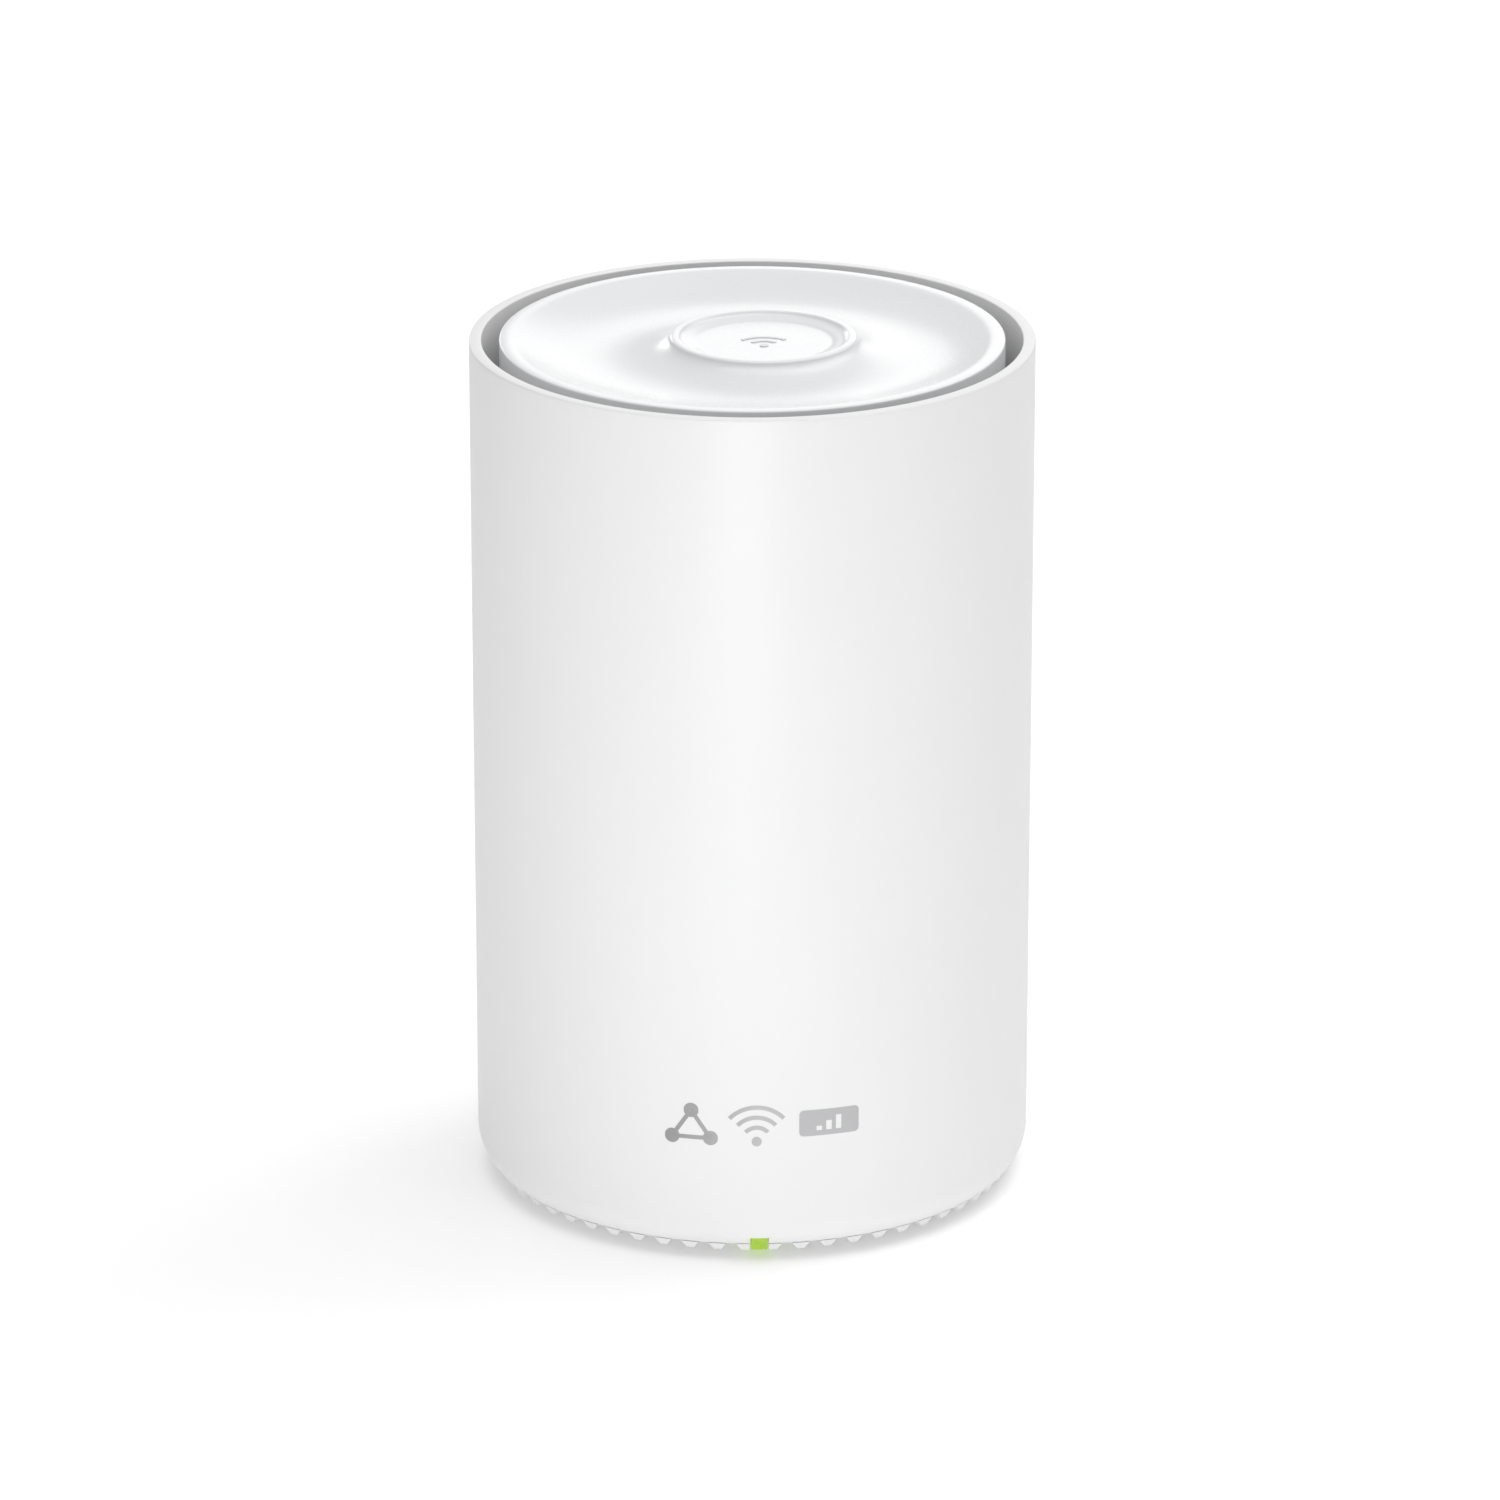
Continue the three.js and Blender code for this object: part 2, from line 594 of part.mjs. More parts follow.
/** Upright fins on a flat back, with posts that stand it off the main board. */
function heatSink() {
  const [halfWidth, plateRear, plateFront, finFront] = [36, -6, -8.6, -26];
  const [bottom, top, fins, finHalf] = [36, 136, 11, 0.7];
  const back = box([-halfWidth, plateFront, bottom], [halfWidth, plateRear, top]);
  const pitch = (2 * (halfWidth - finHalf)) / (fins - 1);
  const blades = Array.from({ length: fins }, (_, i) => (i - (fins - 1) / 2) * pitch).map((x) =>
    box([x - finHalf, finFront, bottom], [x + finHalf, plateFront + 0.5, top]),
  );
  const posts = [-33, 33].flatMap((x) =>
    [bottom + 5, top - 5].map((z) => bar(2.5, plateRear - 1, MAIN_BOARD.front - GAP, x, z, 12)),
  );
  return join(back, ...blades, ...posts);
}

function addElectronics() {
  const { halfWidth, front, rear, bottom, top } = MAIN_BOARD;
  const canFront = front - GAP - 2.4;
  const padFront = canFront - GAP - 0.8;
  add("io_board", ioBoard(), BOARD);
  add("board_connector", box([-22, -3.6, PORT_FLOOR], [22, 1.4, bottom - GAP]), BLACK_PLASTIC);
  add("main_board", box([-halfWidth, front, bottom], [halfWidth, rear, top]), BOARD);
  add("soc_shield", box([-20, canFront, 50], [16, front - GAP, 86]), STEEL);
  add("wifi_shield", box([-24, canFront, 96], [24, front - GAP, 124]), STEEL);
  add("soc_thermal_pad", box([-14, padFront, 56], [10, canFront - GAP, 80]), THERMAL_PAD);
  add("wifi_thermal_pad", box([-18, padFront, 100], [18, canFront - GAP, 120]), THERMAL_PAD);
  add("heat_sink", heatSink(), ALUMINIUM);
  const modem = join(box([-15, 2.6, 70], [15, 6.2, 122]), box([-11, rear + GAP, 71], [11, 3, 77]));
  add("lte_module", modem, STEEL);
  add("lte_thermal_pad", box([-12, 6.5, 76], [12, 7.5, 112]), THERMAL_PAD);
  add("lte_heat_spreader", box([-24, 7.8, 66], [24, 9.4, 118]), ALUMINIUM);
}

// ---- Aerials and their cables ----

function addAerials() {
  const [face, thick] = [RAIL.outside + GAP, 0.8];
  const cableX = face + thick + GAP + COAX_RADIUS;
  const bands = {
    wifi: { halfWidth: 7, bottom: 112, top: 144 },
    lte: { halfWidth: 8, bottom: 30, top: 105 },
  };
  for (const [name, side] of Object.entries(sides)) {
    for (const [band, { halfWidth, bottom, top }] of Object.entries(bands)) {
      const strip = box([-thick / 2, -halfWidth, bottom], [thick / 2, halfWidth, top]);
      add(`${band}_antenna_${name}`, strip, BOARD, node, [side * (face + thick / 2), 0, 0]);
    }
    const mirrored = (points) => cable(points.map(([x, y, z]) => [side * x, y, z]));
    const wifiRoute = [
      [30, 0.9, 133],
      [33, 6, 133],
      [40, 12, 131],
      [46.2, 11.2, 128],
      [48.2, 6.5, 124],
      [cableX, 2, 120],
    ];
    const lteRoute = [
      [11, 4.4, 123],
      [16, 5, 126],
      [28, 8, 123],
      [38, 12, 112],
      [46, 11.4, 102],
      [48.2, 6.5, 97],
      [cableX, 2, 92],
    ];
    const socketRoute = [
      [22, 27.1, 42],
      [22, 22, 42.6],
      [20.4, 13, 50],
      [15, 6, 61],
      [12, 4.4, 69.4],
    ];
    add(`coax_wifi_${name}`, mirrored(wifiRoute), CABLE);
    add(`coax_lte_${name}`, mirrored(lteRoute), CABLE);
    add(`coax_sma_${name}`, mirrored(socketRoute), CABLE);
  }
}

addHousing();
addFrame();
addSockets();
addAerialSockets();
addControls();
addElectronics();
addAerials();

export default node;
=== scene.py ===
import math

import bmesh
import bpy
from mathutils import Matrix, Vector

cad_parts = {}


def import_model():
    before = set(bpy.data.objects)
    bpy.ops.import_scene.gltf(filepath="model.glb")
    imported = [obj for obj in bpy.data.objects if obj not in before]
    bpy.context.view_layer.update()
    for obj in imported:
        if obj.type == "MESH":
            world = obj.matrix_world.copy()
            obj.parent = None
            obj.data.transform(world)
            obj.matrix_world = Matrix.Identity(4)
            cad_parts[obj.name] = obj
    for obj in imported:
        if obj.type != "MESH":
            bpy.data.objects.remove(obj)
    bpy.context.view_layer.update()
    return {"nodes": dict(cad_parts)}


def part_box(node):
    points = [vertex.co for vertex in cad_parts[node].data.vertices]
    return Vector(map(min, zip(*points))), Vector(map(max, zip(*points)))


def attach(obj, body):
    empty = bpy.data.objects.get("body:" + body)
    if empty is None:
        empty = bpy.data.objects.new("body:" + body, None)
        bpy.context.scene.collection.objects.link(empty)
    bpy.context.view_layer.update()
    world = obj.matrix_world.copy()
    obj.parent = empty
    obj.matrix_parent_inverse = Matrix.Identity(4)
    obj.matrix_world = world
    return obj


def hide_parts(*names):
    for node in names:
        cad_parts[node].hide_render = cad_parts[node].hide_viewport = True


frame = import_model()

MM = 0.001
HOUSING = "housing"  # the body that everything fixed rides on

# ---- Sizes, in millimetres ----


def extent(node):
    """The lowest and highest corner of a CAD node, in millimetres."""
    low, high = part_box(node)
    return low / MM, high / MM


def middle(node):
    return sum(extent(node), Vector()) / 2


SHELL_LOW, SHELL_HIGH = extent("outer_shell")
_, COVER_HIGH = extent("top_cover")
PANEL_LOW, _ = extent("port_panel")

RADIUS = SHELL_HIGH.x
WALL = 2.4
INSIDE = RADIUS - WALL
FOOT_ROUND = 8.2  # the curve that turns the shell in at its foot
FOOT_RADIUS = 52.7
RIM_ROUND, RIM_ROUND_INSIDE = 0.35, 0.25
EDGE_ROUND = 0.6  # on the window's edge
BLOCK_TOP = 54  # the rows of the window's part of the grid end at this height
WINDOW_ANGLE = 45
NOTCH_ANGLE = 2
NOTCH_TOP = 4.9

LIP_ROUND = 0.35
SKIRT_WALL, SKIRT_BOTTOM = 1.85, 157
DISH_DEPTH = 3.4  # from the lip down to the valley round the ring
RING_RADIUS = 17.5
RING_OFFSET = 2.2  # of the raised ring's middle, to the right
RING_RISE = 0.35  # how far the ring stands above the lip
WELL_DEPTH = 1.35
MARKS_HEIGHT = 28.8  # of the middle of the signs on the front

POCKET_HALF_WIDTH = 34
POCKET_BOTTOM, POCKET_TOP = 11, 51
POCKET_CORNER = 6
POCKET_WALL = 1.6
POCKET_FACE = 36.2  # the pocket's back, behind the axis
SOCKET_GAP = 0.3
BARREL_RADIUS = 3.15  # of the aerial sockets' threads
PAST_SHELL = 60  # where cuts that go out through the rear end

BASE_UNDER, BASE_TOP = 1.6, 3
RIB_COUNT = 60
RIB_ROOT = 46.4
RIB_LOW_TIP, RIB_HIGH_TIP = 51.9, 52.4
RIB_LOW_HALF, RIB_HIGH_HALF = 0.8, 1.9  # degrees to each side of a rib's middle
BASE_RING = (48.6, 50.5, 16)  # its inner and outer radius and its top
BOSS_RADIUS, BOSS_TOP = 7.5, 6
FOOT_HOLES = ((6.3, 2.4), (3, 4.6), (1.5, 7))  # radius and height: the foot, its screw's head, the screw

# ---- Outlines and profiles ----


def arc(cx, cz, radius, start, end, steps):
    """Points along an arc, with its angles in degrees."""
    turns = [math.radians(start + (end - start) * i / steps) for i in range(steps + 1)]
    return [(cx + radius * math.cos(t), cz + radius * math.sin(t)) for t in turns]


def bezier(points, steps):
    """Points along a cubic Bezier curve, without its first one."""
    p0, p1, p2, p3 = [Vector(p) for p in points]
    made = []
    for i in range(1, steps + 1):
        t = i / steps
        u = 1 - t
        made.append(tuple(u**3 * p0 + 3 * u * u * t * p1 + 3 * u * t * t * p2 + t**3 * p3))
    return made


def circle(cx, cy, radius, sides=64):
    return arc(cx, cy, radius, 0, 360, sides)[:-1]


def rounded(cx, cy, half_width, half_height, corner, steps=8):
    """A rounded rectangle's outline."""
    right, top = half_width - corner, half_height - corner
    points = []
    for k, (x, y) in enumerate(((right, top), (-right, top), (-right, -top), (right, -top))):
        points += arc(cx + x, cy + y, corner, 90 * k, 90 * k + 90, steps)
    return points


def along(points, step=0.7):
    """The same line with more points, so that it can be wrapped round a curved face."""
    made = [points[0]]
    for near, far in zip(points, points[1:]):
        near, far = Vector(near), Vector(far)
        count = max(1, math.ceil((far - near).length / step))
        made += [tuple(near.lerp(far, k / count)) for k in range(1, count + 1)]
    return made


# ---- Solids: each is a pair of vertices, in millimetres, and faces ----

PLACES = {
    "X": lambda a, b, h: (h, a, b),
    "Y": lambda a, b, h: (a, h, b),
    "Z": lambda a, b, h: (a, b, h),
}


def loft(sections, axis="Z"):
    """A solid through outlines of (a, b) points with the same count, each at its height along the axis."""
    count = len(sections[0][0])
    verts = [PLACES[axis](a, b, height) for outline, height in sections for a, b in outline]
    faces = []
    for level in range(len(sections) - 1):
        first = level * count
        for k in range(count):
            m = (k + 1) % count
            faces.append((first + k, first + m, first + count + m, first + count + k))
    last = (len(sections) - 1) * count
    return verts, [*faces, tuple(range(count)), tuple(range(last, last + count))]


def prism(outline, low, high, axis="Z"):
    return loft([(outline, low), (outline, high)], axis)


def block(low, high, corner=0.3, axis="Z"):
    """A box between two corners, with rounded edges along one axis."""
    order = {"X": (1, 2, 0), "Y": (0, 2, 1), "Z": (0, 1, 2)}[axis]
    a, b, h = [(low[i], high[i]) for i in order]
    outline = rounded(sum(a) / 2, sum(b) / 2, (a[1] - a[0]) / 2, (b[1] - b[0]) / 2, corner, 4)
    return prism(outline, *h, axis)


def turned(profile, x=0, y=0, z=0, axis="Z", steps=96):
    """A profile of (radius, height) points turned round an axis. It closes on itself, or starts and ends on
    the axis."""
    on_axis = profile[0][0] == 0
    count = len(profile)
    verts = []
    for i in range(steps):
        angle = 2 * math.pi * i / steps
        for radius, height in profile:
            px, py, pz = PLACES[axis](radius * math.cos(angle), radius * math.sin(angle), height)
            verts.append((px + x, py + y, pz + z))
    faces = []
    for i in range(steps):
        a, b = i * count, (i + 1) % steps * count
        for j in range(count - 1 if on_axis else count):
            k = (j + 1) % count
            faces.append((a + j, b + j, b + k, a + k))
    return verts, faces


def rod(radius, low, high, a, b, axis="Z", sides=64):
    """A round bar along an axis, with its middle at (a, b)."""
    return prism(circle(a, b, radius, sides), low, high, axis)


def together(shapes):
    """Several separate solids as one."""
    verts, faces = [], []
    for more, sides in shapes:
        faces += [tuple(i + len(verts) for i in side) for side in sides]
        verts += more
    return verts, faces


# ---- Pieces ----


def mesh_piece(name, shape, sharp_degrees=35):
    """A new object from a solid, with its faces out and its sharp edges kept."""
    verts, faces = shape
    mesh = bpy.data.meshes.new(name)
    mesh.from_pydata([Vector(v) * MM for v in verts], [], faces)
    made = bmesh.new()
    made.from_mesh(mesh)
    bmesh.ops.remove_doubles(made, verts=made.verts, dist=1e-7)
    bmesh.ops.recalc_face_normals(made, faces=made.faces)
    made.to_mesh(mesh)
    made.free()
    mesh.shade_smooth()
    mesh.set_sharp_from_angle(angle=math.radians(sharp_degrees))
    piece = bpy.data.objects.new(name, mesh)
    bpy.context.scene.collection.objects.link(piece)
    return piece


def apply_modifiers(piece):
    """Makes what the modifiers show the piece's own mesh."""
    graph = bpy.context.evaluated_depsgraph_get()
    mesh = bpy.data.meshes.new_from_object(piece.evaluated_get(graph))
    piece.modifiers.clear()
    piece.data = mesh


def round_edges(piece, width, segments=2):
    modifier = piece.modifiers.new("round_edges", "BEVEL")
    modifier.limit_method, modifier.angle_limit = "ANGLE", math.radians(32)
    modifier.width, modifier.segments = width * MM, segments
    modifier.harden_normals = True
    modifier.miter_outer = "MITER_ARC"


def carved(name, first, joined=(), cut=(), kept=(), soften=0.0, segments=2):
    """A piece made from one solid: others are joined to it, cut out of it or limit it, and its edges are
    rounded."""
    piece = mesh_piece(name, first)
    for operation, shapes in (("UNION", joined), ("DIFFERENCE", cut), ("INTERSECT", kept)):
        for shape in shapes:
            tool = mesh_piece("tool", shape)
            modifier = piece.modifiers.new("carve", "BOOLEAN")
            modifier.operation, modifier.solver, modifier.object = operation, "MANIFOLD", tool
            apply_modifiers(piece)
            bpy.data.objects.remove(tool)
    piece.data.shade_smooth()
    if soften:
        round_edges(piece, soften, segments)
        apply_modifiers(piece)
    else:
        piece.data.set_sharp_from_angle(angle=math.radians(32))
    return piece


def settle(piece, material, body=HOUSING, replaces=()):
    """Gives a piece its material, and lets it ride on its body in place of its CAD nodes."""
    piece.data.materials.clear()
    piece.data.materials.append(material)
    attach(piece, body)
    if replaces:
        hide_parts(*replaces)
    return piece


# ---- Materials ----


class Nodes:
    """A material whose nodes are added one after another."""

    def __init__(self, name):
        self.material = bpy.data.materials.new(name)
        self.material.use_nodes = True
        self.tree = self.material.node_tree
        self.shader = self.tree.nodes["Principled BSDF"]
        self.place = self.add("ShaderNodeTexCoord").outputs["Object"]

    def add(self, kind, **settings):
        node = self.tree.nodes.new(kind)
        for key, value in settings.items():
            setattr(node, key, value)
        return node

    def link(self, source, target):
        self.tree.links.new(source, target)

    def stretched(self, scale):
        """The object's coordinates, stretched along each axis."""
        node = self.add("ShaderNodeMapping")
        node.inputs["Scale"].default_value = scale
        self.link(self.place, node.inputs["Vector"])
        return node.outputs["Vector"]

    def noise(self, per_metre, detail=2, vector=None):
        node = self.add("ShaderNodeTexNoise")
        node.inputs["Scale"].default_value = per_metre
        node.inputs["Detail"].default_value = detail
        self.link(vector or self.place, node.inputs["Vector"])
        return node.outputs["Fac"]

    def cells(self, per_metre, kind="F1", vector=None):
        """The distance to the nearest of many scattered points, or to the edge of its cell."""
        node = self.add("ShaderNodeTexVoronoi", feature=kind)
        node.inputs["Scale"].default_value = per_metre
        self.link(vector or self.place, node.inputs["Vector"])
        return node.outputs["Distance"]

    def ranged(self, value, low, high, start=0.3, end=0.7):
        node = self.add("ShaderNodeMapRange")
        for key, number in zip(("From Min", "From Max", "To Min", "To Max"), (start, end, low, high)):
            node.inputs[key].default_value = number
        self.link(value, node.inputs["Value"])
        return node.outputs["Result"]

    def blend(self, factor, first, second):
        """A colour between two, each a colour or a socket."""
        node = self.add("ShaderNodeMix", data_type="RGBA")
        self.link(factor, node.inputs["Factor"])
        for socket, colour in ((node.inputs[6], first), (node.inputs[7], second)):
            if isinstance(colour, tuple):
                socket.default_value = (*colour, 1)
            else:
                self.link(colour, socket)
        return node.outputs[2]

    def bump(self, height, depth_mm, below=None):
        node = self.add("ShaderNodeBump")
        node.inputs["Strength"].default_value = 1
        node.inputs["Distance"].default_value = depth_mm * MM
        self.link(height, node.inputs["Height"])
        if below:
            self.link(below, node.inputs["Normal"])
        return node.outputs["Normal"]

    def set(self, **values):
        """Sets or links the shader's sockets, named with underscores for spaces."""
        for key, value in values.items():
            socket = self.shader.inputs[key.replace("_", " ")]
            if isinstance(value, bpy.types.NodeSocket):
                self.link(value, socket)
            elif isinstance(value, tuple):
                socket.default_value = (*value, 1)
            else:
                socket.default_value = value


def tint(colour, factor):
    return tuple(min(1, c * factor) for c in colour)


def moulded(name, colour, roughness, grain_mm=0.3, depth_mm=0.006, variation=0.015, **extra):
    """Injection-moulded plastic: a spark-eroded grain, faint flow clouds and an uneven gloss."""
    made = Nodes(name)
    clouds = made.noise(28, 3)
    grain = made.noise(1000 / grain_mm, 3)
    made.set(
        Base_Color=made.blend(clouds, tint(colour, 1 - variation), tint(colour, 1 + variation)),
        Roughness=made.ranged(grain, roughness - 0.04, roughness + 0.04),
        Normal=made.bump(grain, depth_mm),
        **extra,
    )
    return made.material


def rubber(name, colour):
    """Soft rubber: a fine speckle and a dull, uneven face."""
    made = Nodes(name)
    speckle = made.noise(5200, 4)
    smears = made.noise(160, 2)
    made.set(
        Base_Color=made.blend(smears, tint(colour, 0.8), tint(colour, 1.2)),
        Roughness=made.ranged(smears, 0.68, 0.86),
        Normal=made.bump(speckle, 0.03),
        Specular_IOR_Level=0.35,
    )
    return made.material


def metal(name, colour, roughness, grain, depth_mm=0.004):
    """Metal with fine lines along the axis whose grain is the lowest, and faint stains."""
    made = Nodes(name)
    lines = made.noise(1, 4, made.stretched(grain))
    stains = made.noise(110, 3)
    made.set(
        Base_Color=made.blend(stains, tint(colour, 0.88), tint(colour, 1.06)),
        Metallic=1.0,
        Roughness=made.ranged(lines, roughness - 0.07, roughness + 0.1),
        Normal=made.bump(lines, depth_mm),
    )
    return made.material


def circuit(name, mask, copper):
    """A circuit board: solder mask over raised square-cornered tracks, with plated holes."""
    made = Nodes(name)
    patches = made.cells(170, "DISTANCE_TO_EDGE", vector=made.stretched((1, 1, 2.2)))
    tracks = made.ranged(patches, 1, 0, 0.04, 0.09)
    holes = made.ranged(made.cells(420), 1, 0, 0.1, 0.14)
    weave = made.noise(1, 2, made.stretched((3000, 3000, 900)))
    masked = made.blend(tracks, mask, tint(mask, 1.9))
    made.set(
        Base_Color=made.blend(holes, masked, copper),
        Metallic=holes,
        Roughness=made.ranged(weave, 0.28, 0.42),
        Normal=made.bump(weave, 0.004, made.bump(tracks, 0.035)),
        Coat_Weight=0.3,
    )
    return made.material


def lens(name, colour, glow, strength):
    """Tinted translucent plastic, lit from inside, brighter in its clouds than between them."""
    made = Nodes(name)
    clouds = made.noise(420, 2)
    made.set(
        Base_Color=made.blend(clouds, tint(colour, 0.9), tint(colour, 1.1)),
        Roughness=made.ranged(clouds, 0.22, 0.34),
        Emission_Color=made.blend(clouds, tint(glow, 0.94), tint(glow, 1.06)),
        Emission_Strength=strength,
        Coat_Weight=0.2,
    )
    return made.material


def film(name, colour):
    """Printed polyester film: a faint paper-like mottle under a satin skin."""
    made = Nodes(name)
    mottle = made.noise(900, 4)
    made.set(
        Base_Color=made.blend(mottle, tint(colour, 0.96), tint(colour, 1.04)),
        Roughness=made.ranged(mottle, 0.38, 0.5),
        Normal=made.bump(mottle, 0.01),
    )
    return made.material


def faded_print(name, left_colour, right_colour, left, right):
    """Printed ink whose colour changes from left to right, with a fine grain."""
    made = Nodes(name)
    place = made.add("ShaderNodeSeparateXYZ")
    made.link(made.place, place.inputs["Vector"])
    across = made.ranged(place.outputs["X"], 0, 1, left * MM, right * MM)
    grain = made.noise(5000, 3)
    made.set(
        Base_Color=made.blend(across, left_colour, right_colour),
        Roughness=made.ranged(grain, 0.42, 0.56),
        Normal=made.bump(grain, 0.002),
    )
    return made.material


def gel(name, colour):
    """A soft thermal pad: a grainy filler that shows through, and a tacky face."""
    made = Nodes(name)
    filler = made.cells(2600)
    made.set(
        Base_Color=made.blend(filler, tint(colour, 1.15), tint(colour, 0.8)),
        Roughness=made.ranged(filler, 0.55, 0.8, 0, 0.8),
        Normal=made.bump(filler, 0.04),
    )
    return made.material


WHITE = moulded("white_moulding", (0.83, 0.83, 0.832), 0.42)
COVER_WHITE = moulded("satin_cover", (0.84, 0.845, 0.855), 0.26, 0.12, 0.0003, 0.004)
GREY = moulded("grey_moulding", (0.27, 0.28, 0.29), 0.5)
BLACK = moulded("black_moulding", (0.014, 0.014, 0.015), 0.42, variation=0.1)
PRINT = moulded("grey_print", (0.5, 0.5, 0.5), 0.5, grain_mm=0.2, depth_mm=0.002)
FRONT_PRINT = faded_print("front_print", (0.3, 0.3, 0.305), (0.5, 0.5, 0.5), -18, 0)
BADGE = moulded("badge_print", (0.48, 0.48, 0.49), 0.5, grain_mm=0.2, depth_mm=0.002)
NATURAL = moulded("natural_plastic", (0.75, 0.74, 0.7), 0.35, variation=0.03, Subsurface_Weight=0.1)
FOOT_RUBBER = rubber("foot_rubber", (0.07, 0.072, 0.075))
CAP_RUBBER = rubber("cap_rubber", (0.018, 0.018, 0.02))
STEEL = metal("tinned_steel", (0.6, 0.6, 0.61), 0.3, (400, 400, 6000))
SPRING_STEEL = metal("nickel_plate", (0.68, 0.66, 0.62), 0.24, (3000, 3000, 3000))
ALUMINIUM = metal("extruded_aluminium", (0.72, 0.73, 0.74), 0.34, (5000, 5000, 120))
GOLD = metal("gold_plate", (0.86, 0.6, 0.24), 0.2, (2500, 2500, 2500), 0.002)
BOARD = circuit("circuit_board", (0.012, 0.085, 0.045), (0.7, 0.48, 0.2))
PAD = gel("thermal_pad", (0.22, 0.34, 0.46))
CABLE = moulded("cable_jacket", (0.02, 0.02, 0.022), 0.35, grain_mm=0.1, variation=0.1)
LABEL = film("label_film", (0.66, 0.67, 0.68))
# painted shade: the cover's raised mark is really the cover's white, and this grey stands in for the shading
# of its relief
MARK_PAINTED_SHADE = moulded("mark_painted_shade", (0.68, 0.69, 0.7), 0.35, grain_mm=0.2, depth_mm=0.001)
GREEN_LENS = lens("green_lens", (0.16, 0.3, 0.01), (0.42, 0.6, 0.05), 0.5)
DARK_LAMP = lens("unlit_lamp", (0.2, 0.3, 0.08), (0, 0, 0), 0.0)


# ---- Outer shell ----


def shell_section():
    """The shell's section as a loop from the foot's edge: up its outer face, over the rim and down inside.
    Also the heights of its straight rows, and the indices where the light's notch starts and ends."""
    bottom, top = SHELL_LOW.z, SHELL_HIGH.z
    cx = RADIUS - FOOT_ROUND
    turn = math.degrees(math.acos((FOOT_RADIUS - cx) / FOOT_ROUND))
    cz = bottom + FOOT_ROUND * math.sin(math.radians(turn))
    notch_turn = math.degrees(math.asin((cz - NOTCH_TOP) / FOOT_ROUND))
    inner_round = FOOT_ROUND - WALL
    lip = cx + inner_round * math.cos(math.radians(turn))
    close_rows, wide_rows = [11 + 2 * i for i in range(22)], [BLOCK_TOP + 9.6 * i for i in range(13)]
    heights = [cz, *close_rows, *wide_rows]
    to_notch = arc(cx, cz, FOOT_ROUND, -turn, -notch_turn, 3)
    rise = arc(cx, cz, FOOT_ROUND, -notch_turn, 0, 12)[1:-1]
    rim = arc(RADIUS - RIM_ROUND, top - RIM_ROUND, RIM_ROUND, 0, 90, 6)
    rim += arc(INSIDE + RIM_ROUND_INSIDE, top - RIM_ROUND_INSIDE, RIM_ROUND_INSIDE, 90, 180, 4)
    fall = arc(cx, cz, inner_round, 0, -turn, 10)[1:]
    foot = [(lip, NOTCH_TOP), (lip, bottom + 0.3), (lip + 0.3, bottom)]
    outer = to_notch + rise + [(RADIUS, h) for h in heights]
    inner = [(INSIDE, h) for h in reversed(heights)] + fall
    return outer + rim + inner + foot, heights, len(to_notch) - 1, len(outer + rim + inner)


def pocket_outline(x, z, offset):
    """The point of the pocket's rounded outline, grown by an offset, that is nearest to x and z."""
    side = POCKET_HALF_WIDTH - POCKET_CORNER
    low, high = POCKET_BOTTOM + POCKET_CORNER, POCKET_TOP - POCKET_CORNER
    centre = Vector((max(-side, min(side, x)), max(low, min(high, z))))
    return centre + (Vector((x, z)) - centre).normalized() * (POCKET_CORNER + offset)


